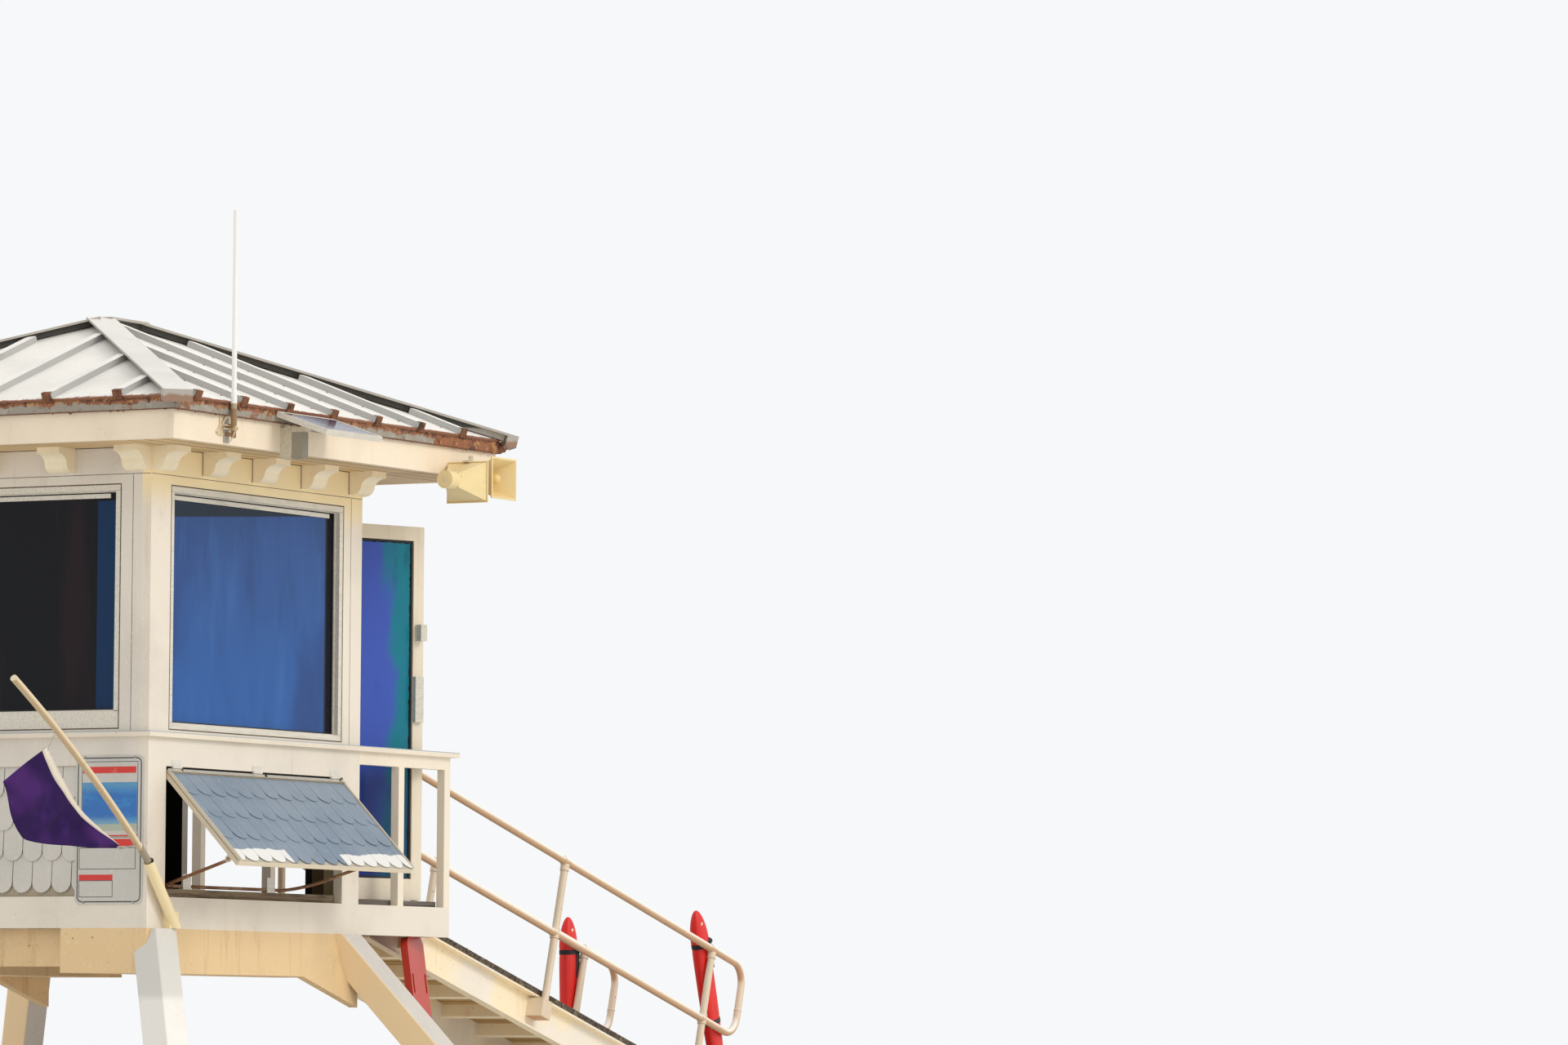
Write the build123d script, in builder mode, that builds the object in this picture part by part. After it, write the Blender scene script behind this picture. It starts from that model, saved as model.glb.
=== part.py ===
"""Beach lifeguard tower: a square hut on four splayed legs, with a railed deck and a ramp.

Millimetres. +X runs from the land side to the sea side, +Y from the near face to the far face,
+Z up from the ground. The pieces are modelled from the near landward corner of the hut and are
moved together at export, so that the row's origin is the middle of the tower's base.
"""
from build123d import *

import os
from math import cos, hypot, radians, sin

# Hut and deck in plan
hut_length = 2200
hut_width = 2200
deck_length = 1005
wall_thickness = 60
joint_gap = 0.4

# Levels above the ground
girder_bottom = 847
rim_bottom = 1095
floor_top = 1270
hatch_head = 1995
ledge_bottom = 2154
ledge_top = 2184
window_head = 3555
wall_top = window_head + 209

# Legs and beams
leg_width = 178
leg_inset_x = 165
leg_inset_y = 60
leg_splay_x = 0.685
leg_splay_y = 0.59
girder_width = 570
cross_beam_inset = 110
cross_beam_width = 160
knee_length = 585
knee_depth = 172
knee_thickness = 55

# Floor
board_thickness = 38
deck_board_thickness = 34
deck_board_width = 138
deck_board_gap = 8
joist_width = 45
joist_count = 4

# Walls
hatch_post_width = 180
window_post_width = 205
window_sill = 20
panel_recess = 20
ledge_reach = 30
rail_cap_inner = 50

# Window frames and glass
frame_face = 32
frame_face_tall = 96
frame_depth = 55
frame_inset = 3
glass_thickness = 8
glass_seat = 4

# Corbels under the soffit
corbel_count = 5
corbel_width = 148
corbel_reach = 160
corbel_height = 134

# Roof
eave_reach = 415
sea_eave_reach = 800
soffit_thickness = 20
fascia_height = 159
fascia_thickness = 30
drip_height = 68
drip_proud = 25
roof_rise = 580
roof_sheet = 12
hip_gap = 22
rib_pitch = 467
first_rib = 215
rib_width = 57
rib_height = 36
rib_end_gap = 66
batten_width = 88
cap_width = 165
cap_height = 13
cap_box_drop = 58
cap_box_clearance = 10
cap_overrun = 75

# Door
doorway_near = 326
door_width = 840
door_thickness = 45
door_gap = 5
door_foot = 1310
door_top = window_head - 50
door_open = 108
door_stile = 78
door_top_rail = 84
door_foot_rail = 124
jamb_width = 45
hinge_offset = 8
hinge_radius = 7
hinge_height = 90
hinge_plate = 3
door_hinge_count = 3
lock_width = 62
lock_height = 96
lock_depth = 52
lock_foot = 2832
pull_width = 78
pull_height = 268
pull_depth = 26
pull_foot = 2354

# Hatch and its prop
hatch_gap = 8
hatch_thickness = 45
hatch_open = 44
hatch_stile = 36
hatch_edge = 16
hatch_recess = 12
hatch_board = 22
hatch_pivot_drop = 5
prop_radius = 9.5
prop_pivot_rise = 68
prop_pivot_depth = 17
prop_left = 225
prop_right = 1640
prop_bar_left = 270
prop_pin = 34
prop_bend = 35
prop_bend_wide = 190
pin_clearance = 0.3
eye_thickness = 8
eye_wall = 9
sill_depth = 90
sill_height = 48
clip_width = 80
clip_height = 85
clip_metal = 6
clip_places = (480, 1345)

# Deck railings
rail_board_height = 75
rail_board_thickness = 50
rail_post_width = 63
baluster_width = 62
baluster_x = 2630
sea_railing_near = 1215

# Ramp
ramp_near = 300
ramp_width = 860
ramp_slope = 15.47
ramp_step = 33
plank_thickness = 36
plank_width = 138
plank_spacing = 146
stringer_depth = 215
flange_width = 62
flange_thickness = 11
web_thickness = 9
ramp_joist_spacing = 430
ramp_joist_width = 50
ramp_joist_depth = 76
stringer_tail = 405

# Handrails, measured from the ramp's surface
rail_radius = 23
rail_standoff = 35
top_rail_height = 821
mid_rail_height = 364
post_stations = (1640, 3545)
head_post_reach = 40
rail_end = 3968
bend_radius = 130
foot_block = 112
foot_block_drop = 60

# Sign, flagpole and flag
sign_width = 450
sign_height = 828
sign_near = 26
sign_foot = 1224
sign_thickness = 4
sign_corner = 36
pole_plane = -46
socket_foot = (225, 1100)
socket_head = (-54, 1456)
socket_radius = 31
socket_bore = 20.3
pole_seat = 40
pole_middle = (-700, 1967)
pole_tip = (-1380, 2411)
pole_radius = 20
flag_thickness = 6
flag_head = (-1048, 2034)
flag_hoist = ((-915, 1836), (-714, 1666))
flag_foot = (-337, 1520)
flag_hem = (-790, 1500)
flag_fly_foot = (-1310, 1555)
flag_fly_head = (-1470, 1840)
tie_radius = 4
flag_tie_ends = (((-965, 2142), flag_head), ((-168, 1551), flag_foot))

# Fittings on the fascia
solar_width = 585
solar_depth = 347
solar_thickness = 30
solar_tilt = 18.9
solar_near_x = 570
solar_clearance = 8
solar_bracket_x = (663, 720)
solar_bracket_z = (wall_top - 38, wall_top + 136)
solar_bracket_reach = 150
solar_arm = 32
horn_mouth_width = 265
horn_mouth_height = 230
horn_throat = 84
horn_length = 175
horn_wall = 5
horn_driver_radius = 52
horn_driver_length = 85
sea_horn = (2470, -550, wall_top - 49)
near_horn = (2660, -680, wall_top - 19)
horn_strap_x = (2700, 2740)
horn_strap_z = (wall_top + 26, wall_top + 126)
horn_strap_thickness = 5
horn_arm_half_width = 20
horn_arm_overlap = 30
antenna_x = 110
antenna_standoff = 50
antenna_radius = 14
antenna_foot = wall_top + 36
antenna_length = 1265
antenna_sleeve_start = 50
antenna_sleeve_length = 200
antenna_sleeve_wall = 3
antenna_plate_width = 62
antenna_plate_z = (wall_top + 10, wall_top + 144)
antenna_clamp_height = 20
antenna_clamp_side = 6
antenna_clamp_inset = 30

# Things kept on the tower
tube_length = 1000
tube_width = 150
tube_depth = 88
tube_gap = 0.3
near_tube_top = (6740, 1325)
near_tube_lean = 17
far_tube_top = (6735, 1288)
far_tube_lean = 2
backboard_width = 430
backboard_thickness = 42
backboard_corner = (2770, 72)
backboard_yaw = 19
backboard_lean = 7.5
backboard_rounding = 70
hand_hole_length = 120
hand_hole_width = 36

# Places that follow from the sizes above
deck_end = hut_length + deck_length
middle_x = hut_length / 2
middle_y = hut_width / 2
floor_bottom = floor_top - board_thickness
eave_low_x = -eave_reach
eave_high_x = hut_length + sea_eave_reach
eave_low_y = -eave_reach
eave_high_y = hut_width + eave_reach
soffit_top = wall_top + soffit_thickness
fascia_top = wall_top + fascia_height
eave_z = fascia_top + drip_height
roof_run = (eave_high_y - eave_low_y) / 2 + drip_proud
ridge_z = eave_z + roof_rise
ridge_low_x = eave_low_x - drip_proud + roof_run
ridge_high_x = eave_high_x + drip_proud - roof_run
hatch_low_x = hatch_post_width
hatch_high_x = hut_length - hatch_post_width
door_hinge_x = hut_length + hinge_offset
door_hinge_y = doorway_near + door_gap
doorway_far = door_hinge_y + door_width + 2 * door_gap
far_jamb = doorway_far + jamb_width
door_head_z = door_top + 2 * door_gap
hatch_axis_y = -hinge_offset
hatch_axis_z = hatch_head - hatch_pivot_drop
ramp_far = ramp_near + ramp_width
ramp_top_z = floor_top - ramp_step

finished = {}


def slab(x, y, z, mode=Mode.ADD):
    """Adds a straight board between two corners to the piece in hand."""
    with Locations((x[0], y[0], z[0])):
        Box(x[1] - x[0], y[1] - y[0], z[1] - z[0], align=(Align.MIN,) * 3, mode=mode)


def keep(name, piece):
    """Labels a finished piece and lists it for export."""
    piece.part.label = name
    finished[name] = piece


# Legs, girders and beams

def leg(side_x, side_y):
    """A square leg, splayed both ways and cut level under the rim and at the ground."""
    head_x = middle_x + side_x * (middle_x - leg_inset_x)
    head_y = middle_y + side_y * (middle_y - leg_inset_y)
    run = Vector(side_x * leg_splay_x, side_y * leg_splay_y, -1)
    start = Vector(head_x, head_y, rim_bottom) - run * leg_width
    with BuildPart() as piece:
        with BuildSketch(Plane(origin=start, x_dir=(1, 0, 0), z_dir=run)):
            RectangleRounded(leg_width, leg_width, leg_width / 20)
        extrude(amount=(rim_bottom + 2 * leg_width) * run.length)
        with Locations((middle_x, middle_y, 0)):
            Box(
                3 * hut_length,
                3 * hut_width,
                rim_bottom,
                align=(Align.CENTER, Align.CENTER, Align.MIN),
                mode=Mode.INTERSECT,
            )
    return piece


leg_sides = {
    "leg_near_landward": (-1, -1),
    "leg_near_seaward": (1, -1),
    "leg_far_landward": (-1, 1),
    "leg_far_seaward": (1, 1),
}
legs = {}
for leg_name, (side_x, side_y) in leg_sides.items():
    legs[leg_name] = leg(side_x, side_y)
    keep(leg_name, legs[leg_name])

with BuildPart() as girders:
    for girder_y in (0, hut_width - girder_width):
        slab((0, hut_length), (girder_y, girder_y + girder_width), (girder_bottom, rim_bottom))
    for one_leg in legs.values():
        add(one_leg.part, mode=Mode.SUBTRACT)
keep("girders", girders)

with BuildPart() as cross_beams:
    for beam_x in (cross_beam_inset, hut_length - cross_beam_inset - cross_beam_width):
        slab(
            (beam_x, beam_x + cross_beam_width),
            (girder_width, hut_width - girder_width),
            (girder_bottom + board_thickness, rim_bottom),
        )
keep("cross_beams", cross_beams)

with BuildPart() as knee_braces:
    for knee_y in (0, hut_width - knee_thickness):
        with BuildSketch(Plane.XZ.offset(-knee_y)):
            with BuildLine():
                Polyline(
                    (hut_length, girder_bottom),
                    (hut_length - knee_length, girder_bottom),
                    (hut_length, girder_bottom - knee_depth),
                    close=True,
                )
            make_face()
        extrude(amount=-knee_thickness)
    for one_leg in legs.values():
        add(one_leg.part, mode=Mode.SUBTRACT)
keep("knee_braces", knee_braces)


# Floor and the rim boards round it

with BuildPart() as rim_boards:
    rim_z = (rim_bottom, floor_top)
    inner_y = (board_thickness + joint_gap, hut_width - board_thickness - joint_gap)
    slab((0, deck_end), (0, board_thickness), rim_z)
    slab((0, deck_end), (hut_width - board_thickness, hut_width), rim_z)
    slab((0, board_thickness), inner_y, rim_z)
    slab((deck_end - board_thickness, deck_end), inner_y, rim_z)
    slab(
        (deck_end - 2 * board_thickness, deck_end + board_thickness),
        (ramp_near - joint_gap, ramp_far + joint_gap),
        (rim_bottom - board_thickness, floor_bottom - joint_gap),
        mode=Mode.SUBTRACT,
    )
keep("rim_boards", rim_boards)

floor_x = (board_thickness, deck_end - board_thickness)
floor_y = (board_thickness, hut_width - board_thickness)
with BuildPart() as floor_boards:
    slab(floor_x, floor_y, (floor_bottom, floor_top))
keep("floor_boards", floor_boards)

deck_span = hut_width - 2 * (rail_board_thickness + deck_board_gap)
deck_board_count = int(deck_span / (deck_board_width + deck_board_gap))
deck_board_pitch = (deck_span + deck_board_gap) / deck_board_count
with BuildPart() as deck_boards:
    for number in range(deck_board_count):
        board_y = rail_board_thickness + deck_board_gap + number * deck_board_pitch
        slab(
            (hut_length + joint_gap, deck_end - rail_board_thickness - deck_board_gap),
            (board_y, board_y + deck_board_pitch - deck_board_gap),
            (floor_top, floor_top + deck_board_thickness),
        )
keep("deck_boards", deck_boards)

joist_pitch = hut_width / (joist_count + 1)
with BuildPart() as floor_joists:
    for joist in range(joist_count):
        joist_y = (joist + 1) * joist_pitch
        slab(
            floor_x,
            (joist_y - joist_width / 2, joist_y + joist_width / 2),
            (rim_bottom, floor_bottom),
        )
keep("floor_joists", floor_joists)


# Walls

window_z = (ledge_top + window_sill, window_head)
window_x = (window_post_width, hut_length - window_post_width)
window_y = (window_post_width, hut_width - window_post_width)
sea_window_y = (far_jamb + jamb_width, hut_width - window_post_width)
panel_x = (hatch_low_x, hatch_high_x)
panel_y = (hatch_post_width, hut_width - hatch_post_width)
panel_z = (floor_top, hatch_head)
near_wall_y = (0, wall_thickness)
far_wall_y = (hut_width - wall_thickness, hut_width)
end_wall_y = (wall_thickness, hut_width - wall_thickness)
sea_wall_x = (hut_length - wall_thickness, hut_length)

with BuildPart() as near_wall:
    slab((0, hut_length), near_wall_y, (hatch_head, wall_top))
    slab(window_x, near_wall_y, window_z, mode=Mode.SUBTRACT)
keep("near_wall", near_wall)

with BuildPart() as near_posts:
    slab((0, hatch_low_x), near_wall_y, panel_z)
    slab((hatch_high_x, hut_length), near_wall_y, panel_z)
keep("near_posts", near_posts)

with BuildPart() as far_wall:
    slab((0, hut_length), far_wall_y, (floor_top, wall_top))
    slab(window_x, far_wall_y, window_z, mode=Mode.SUBTRACT)
    slab(panel_x, (hut_width - panel_recess, hut_width), panel_z, mode=Mode.SUBTRACT)
keep("far_wall", far_wall)

with BuildPart() as landward_wall:
    slab((0, wall_thickness), end_wall_y, (floor_top, wall_top))
    slab((0, wall_thickness), window_y, window_z, mode=Mode.SUBTRACT)
    slab((0, panel_recess), panel_y, panel_z, mode=Mode.SUBTRACT)
keep("landward_wall", landward_wall)

with BuildPart() as seaward_wall:
    slab(sea_wall_x, (wall_thickness, doorway_near - jamb_width), (floor_top, window_head))
    slab(sea_wall_x, (far_jamb, hut_width - wall_thickness), (floor_top, window_head))
    slab(sea_wall_x, sea_window_y, window_z, mode=Mode.SUBTRACT)
    slab(
        (hut_length - panel_recess, hut_length),
        (far_jamb + jamb_width, panel_y[1]),
        panel_z,
        mode=Mode.SUBTRACT,
    )
keep("seaward_wall", seaward_wall)

with BuildPart() as door_header:
    slab(sea_wall_x, end_wall_y, (window_head, wall_top))
keep("door_header", door_header)

with BuildPart() as door_frame:
    jamb_z = (floor_top, window_head)
    doorway_y = (doorway_near + joint_gap, doorway_far - joint_gap)
    slab(sea_wall_x, (doorway_near - jamb_width, doorway_near), jamb_z)
    slab(sea_wall_x, (doorway_far, far_jamb), jamb_z)
    slab(sea_wall_x, doorway_y, (door_head_z, window_head))
    slab(sea_wall_x, doorway_y, (floor_top, door_foot - 2 * door_gap))
keep("door_frame", door_frame)

with BuildPart() as ledges:
    ledge_z = (ledge_bottom, ledge_top)
    cap_x = (hut_length + joint_gap, deck_end + 2 * ledge_reach)
    slab((-ledge_reach, cap_x[1]), (-ledge_reach, 0), ledge_z)
    slab(cap_x, (-ledge_reach, rail_cap_inner), ledge_z)
    slab((-ledge_reach, cap_x[1]), (hut_width, hut_width + ledge_reach), ledge_z)
    slab(cap_x, (hut_width - rail_cap_inner, hut_width + ledge_reach), ledge_z)
    slab((-ledge_reach, 0), (joint_gap, hut_width - joint_gap), ledge_z)
    slab(
        (hut_length, hut_length + ledge_reach),
        (far_jamb, hut_width - rail_cap_inner - joint_gap),
        ledge_z,
    )
keep("ledges", ledges)


# Windows: an aluminium frame round one sheet of glass on each side. Each is drawn on a plane
# parallel to its wall, and inward says which way along that plane's normal the room lies.

windows = (
    (Plane.XZ.offset(-frame_inset), -1, window_x, frame_face),
    (Plane.XZ.offset(frame_inset - hut_width), 1, window_x, frame_face_tall),
    (Plane.YZ.offset(frame_inset), 1, window_y, frame_face_tall),
    (Plane.YZ.offset(hut_length - frame_inset), -1, sea_window_y, frame_face),
)


def pane(plane, across, up):
    """A rectangle on a wall's plane, given by its reach across and up."""
    with BuildSketch(plane) as outline:
        with Locations(((across[0] + across[1]) / 2, (up[0] + up[1]) / 2)):
            Rectangle(across[1] - across[0], up[1] - up[0])
    return outline.sketch


with BuildPart() as window_frames:
    for plane, inward, across, foot_face in windows:
        extrude(pane(plane, across, window_z), amount=inward * frame_depth)
    for plane, inward, across, foot_face in windows:
        glass_across = (across[0] + frame_face, across[1] - frame_face)
        glass_up = (window_z[0] + foot_face, window_z[1] - frame_face)
        extrude(
            pane(plane, glass_across, glass_up),
            amount=inward * frame_depth,
            mode=Mode.SUBTRACT,
        )
keep("window_frames", window_frames)

with BuildPart() as window_glass:
    for plane, inward, across, foot_face in windows:
        glass_across = (across[0] + frame_face, across[1] - frame_face)
        glass_up = (window_z[0] + foot_face, window_z[1] - frame_face)
        glass_plane = plane.offset(inward * (frame_depth - glass_thickness - glass_seat))
        extrude(pane(glass_plane, glass_across, glass_up), amount=inward * glass_thickness)
keep("window_glass", window_glass)


# Corbels: five to a side, each an ogee bracket under the soffit

def corbel_outline(plane):
    """The side view of a corbel: level top, plumb back and an ogee underside."""
    lip = corbel_height / 4
    heel = corbel_reach / 6
    waist = (corbel_reach * 0.52, -corbel_height * 0.58)
    with BuildSketch(plane) as outline:
        with BuildLine():
            Line((0, -corbel_height), (0, 0))
            Line((0, 0), (corbel_reach, 0))
            Line((corbel_reach, 0), (corbel_reach, -lip))
            TangentArc((corbel_reach, -lip), waist, tangent=(-1, 0))
            TangentArc((heel, -corbel_height), waist, tangent=(1, 0))
            Line((heel, -corbel_height), (0, -corbel_height))
        make_face()
    return outline.sketch


corbel_pitch_x = (hut_length - corbel_width) / (corbel_count - 1)
corbel_pitch_y = (hut_width - corbel_width) / (corbel_count - 1)
with BuildPart() as corbels:
    for number in range(corbel_count):
        x = number * corbel_pitch_x
        y = number * corbel_pitch_y
        near_side = Plane(origin=(x, 0, wall_top), x_dir=(0, -1, 0), z_dir=(-1, 0, 0))
        far_side = Plane(origin=(x, hut_width, wall_top), x_dir=(0, 1, 0), z_dir=(1, 0, 0))
        land_side = Plane(origin=(0, y, wall_top), x_dir=(-1, 0, 0), z_dir=(0, 1, 0))
        sea_side = Plane(origin=(hut_length, y, wall_top), x_dir=(1, 0, 0), z_dir=(0, -1, 0))
        extrude(corbel_outline(near_side), amount=-corbel_width)
        extrude(corbel_outline(far_side), amount=corbel_width)
        extrude(corbel_outline(land_side), amount=corbel_width)
        extrude(corbel_outline(sea_side), amount=-corbel_width)
keep("corbels", corbels)


# Eaves: soffit, fascia boards and the drip edge that carries the roof sheets

inner_eave_x = (eave_low_x + fascia_thickness, eave_high_x - fascia_thickness)
inner_eave_y = (eave_low_y + fascia_thickness, eave_high_y - fascia_thickness)
with BuildPart() as soffit:
    slab(inner_eave_x, inner_eave_y, (wall_top, soffit_top))
keep("soffit", soffit)

with BuildPart() as fascias:
    fascia_z = (wall_top, fascia_top)
    between_y = (inner_eave_y[0] + joint_gap, inner_eave_y[1] - joint_gap)
    slab((eave_low_x, eave_high_x), (eave_low_y, inner_eave_y[0]), fascia_z)
    slab((eave_low_x, eave_high_x), (inner_eave_y[1], eave_high_y), fascia_z)
    slab((eave_low_x, inner_eave_x[0]), between_y, fascia_z)
    slab((inner_eave_x[1], eave_high_x), between_y, fascia_z)
keep("fascias", fascias)

drip_x = (eave_low_x - drip_proud, eave_high_x + drip_proud)
drip_y = (eave_low_y - drip_proud, eave_high_y + drip_proud)
with BuildPart() as drip_edge:
    slab(drip_x, drip_y, (fascia_top, eave_z))
    slab(inner_eave_x, inner_eave_y, (fascia_top, eave_z), mode=Mode.SUBTRACT)
keep("drip_edge", drip_edge)


# Roof: four ribbed metal slopes, and the raised caps along the hips and the ridge

slope_length = hypot(roof_run, roof_rise)
hip_lean = roof_run / slope_length
rise_part = roof_rise / slope_length
run_part = roof_run / slope_length


def roof_slope(corner, along, inward, eave_length, rib_start):
    """One ribbed slope: corner is its left eave end, along and inward are plan directions."""
    normal = (-inward[0] * rise_part, -inward[1] * rise_part, run_part)
    plane = Plane(origin=corner, x_dir=(along[0], along[1], 0), z_dir=normal)
    top = min(slope_length - hip_gap, (eave_length / 2 - 2 * hip_gap) / hip_lean)
    rib_top = slope_length - rib_end_gap
    with BuildPart() as slope:
        with BuildSketch(plane):
            with BuildLine():
                Polyline(
                    (hip_gap, 0),
                    (eave_length - hip_gap, 0),
                    (eave_length - hip_gap - top * hip_lean, top),
                    (hip_gap + top * hip_lean, top),
                    close=True,
                )
            make_face()
        extrude(amount=roof_sheet)
        rib_count = int((eave_length - rib_start - 2 * rib_width) / rib_pitch) + 1
        for rib in range(rib_count):
            across = rib_start + rib * rib_pitch
            to_hip = min(across, eave_length - across) - rib_end_gap - rib_width / 2
            rib_length = min(to_hip / hip_lean, rib_top)
            with BuildSketch(plane.offset(roof_sheet)):
                with Locations((across, rib_length / 2)):
                    Rectangle(rib_width, rib_length)
            extrude(amount=rib_height)
    return slope


long_eave = drip_x[1] - drip_x[0]
short_eave = drip_y[1] - drip_y[0]
rib_run = int((long_eave - first_rib) / rib_pitch) * rib_pitch
last_rib = long_eave - first_rib - rib_run
end_rib = (short_eave - int(short_eave / rib_pitch - 1) * rib_pitch) / 2
roof_near = roof_slope((drip_x[0], drip_y[0], eave_z), (1, 0), (0, 1), long_eave, first_rib)
roof_far = roof_slope((drip_x[1], drip_y[1], eave_z), (-1, 0), (0, -1), long_eave, last_rib)
roof_landward = roof_slope((drip_x[0], drip_y[1], eave_z), (0, -1), (1, 0), short_eave, end_rib)
roof_seaward = roof_slope((drip_x[1], drip_y[0], eave_z), (0, 1), (-1, 0), short_eave, end_rib)
keep("roof_near", roof_near)
keep("roof_far", roof_far)
keep("roof_landward", roof_landward)
keep("roof_seaward", roof_seaward)

side_sine = rise_part / 2**0.5
side_cosine = (1 - side_sine**2) ** 0.5
side_fall = side_sine / side_cosine
sheet_edge = hip_gap / hypot(1, hip_lean)
batten_foot = roof_sheet * side_cosine - sheet_edge * side_sine + joint_gap
cap_lift = (roof_sheet + rib_height) / side_cosine - batten_width / 2 * side_fall + joint_gap


def roof_cap(start, end, overrun):
    """A raised cap on its batten, along a hip or the ridge, with a closed box at its low end."""
    line = (end - start).normalized()
    level = Vector(0, 0, 1).cross(line).normalized()
    with BuildSketch(Plane(origin=start - line * overrun, x_dir=level, z_dir=line)) as cap:
        with Locations((0, cap_lift + cap_height / 2)):
            Rectangle(cap_width, cap_height)
    with BuildSketch(Plane(origin=start, x_dir=level, z_dir=line)) as batten:
        with Locations((0, (batten_foot + cap_lift) / 2)):
            Rectangle(batten_width, cap_lift - batten_foot)
    extrude(cap.sketch, amount=(end - start).length + overrun)
    extrude(batten.sketch, amount=(end - start).length)
    if overrun:
        with BuildSketch(Plane(origin=start - line * overrun, x_dir=level, z_dir=line)) as tail:
            with Locations((0, cap_lift - cap_box_drop / 2)):
                Rectangle(cap_width, cap_box_drop)
        extrude(tail.sketch, amount=overrun - cap_box_clearance)


ridge_ends = (Vector(ridge_low_x, middle_y, ridge_z), Vector(ridge_high_x, middle_y, ridge_z))
with BuildPart() as roof_caps:
    for corner_x, ridge_end in zip(drip_x, ridge_ends):
        for corner_y in drip_y:
            roof_cap(Vector(corner_x, corner_y, eave_z), ridge_end, cap_overrun)
    roof_cap(ridge_ends[0], ridge_ends[1], 0)
keep("roof_caps", roof_caps)


# Door: a glazed leaf, hung on the near jamb and modelled standing open. Its own plane starts
# on the hinge axis, with X along the leaf to its free edge and Y through its thickness.

leaf_angle = radians(90 - door_open)
leaf_plane = Plane(
    origin=(door_hinge_x, door_hinge_y, 0),
    x_dir=(cos(leaf_angle), sin(leaf_angle), 0),
    z_dir=(0, 0, 1),
)
leaf_along = (door_gap, door_gap + door_width)
leaf_through = (hinge_offset, hinge_offset + door_thickness)
hinge_seat = hinge_radius + pin_clearance
plate_start = (hinge_seat**2 - (hinge_offset - hinge_plate) ** 2) ** 0.5
light_along = (leaf_along[0] + door_stile, leaf_along[1] - door_stile)
light_up = (door_foot + door_foot_rail, door_top - door_top_rail)
hinge_pitch = (door_top - door_foot - 2 * hinge_height) / (door_hinge_count - 1)
hinge_feet = [
    door_foot + hinge_height / 2 + number * hinge_pitch for number in range(door_hinge_count)
]

with BuildPart(leaf_plane) as door_leaf:
    slab(leaf_along, leaf_through, (door_foot, door_top))
    slab(light_along, leaf_through, light_up, mode=Mode.SUBTRACT)
    for foot in hinge_feet:
        slab(
            (plate_start, leaf_along[0] + hinge_height / 2),
            (hinge_offset - hinge_plate, hinge_offset),
            (foot, foot + hinge_height),
        )
keep("door_leaf", door_leaf)

light_middle = hinge_offset + door_thickness / 2
with BuildPart(leaf_plane) as door_glass:
    slab(
        light_along,
        (light_middle - glass_thickness / 2, light_middle + glass_thickness / 2),
        light_up,
    )
keep("door_glass", door_glass)

with BuildPart(leaf_plane) as door_hardware:
    lock_along = (leaf_along[1] - lock_width, leaf_along[1] - lock_width / 4)
    slab(lock_along, (hinge_offset - lock_depth, hinge_offset), (lock_foot, lock_foot + lock_height))
    pull_along = (leaf_along[1] - pull_width, leaf_along[1] - pull_width / 5)
    slab(pull_along, (hinge_offset - pull_depth, hinge_offset), (pull_foot, pull_foot + pull_height))
keep("door_hardware", door_hardware)

with BuildPart() as door_hinges:
    for foot in hinge_feet:
        with Locations((door_hinge_x, door_hinge_y, foot)):
            Cylinder(
                hinge_radius, hinge_height, align=(Align.CENTER, Align.CENTER, Align.MIN)
            )
        slab(
            (hut_length, hut_length + hinge_plate),
            (doorway_near - jamb_width, door_hinge_y),
            (foot, foot + hinge_height),
        )
keep("door_hinges", door_hinges)


# Hatch: a top-hung panel over the lower opening, modelled propped open. Its own plane starts
# on the hinge axis, with X along the wall, Y inward through its thickness and Z up the panel.

hatch_plane = Plane(
    origin=(0, hatch_axis_y, hatch_axis_z),
    x_dir=(1, 0, 0),
    z_dir=(0, sin(radians(hatch_open)), cos(radians(hatch_open))),
)
hatch_along = (hatch_low_x + hatch_gap, hatch_high_x - hatch_gap)
hatch_through = (hinge_offset, hinge_offset + hatch_thickness)
hatch_up = (floor_top + hatch_gap - hatch_axis_z, -hatch_gap)
field_along = (hatch_along[0] + hatch_stile, hatch_along[1] - hatch_stile)
field_up = (hatch_up[0] + hatch_stile, hatch_up[1] - hatch_stile)
prop_pivot_y = hatch_through[1] + prop_pivot_depth
prop_pivot_z = hatch_up[0] + prop_pivot_rise
eye_radius = prop_radius + pin_clearance + eye_wall
eye_foot = hatch_through[0] + hatch_recess + hatch_board
eye_left = prop_left - prop_pin + eye_thickness / 2
eye_right = prop_right + prop_pin - 3 * eye_thickness / 2
hatch_hinge_places = (hatch_along[0] + hinge_height, middle_x, hatch_along[1] - hinge_height)

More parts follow.
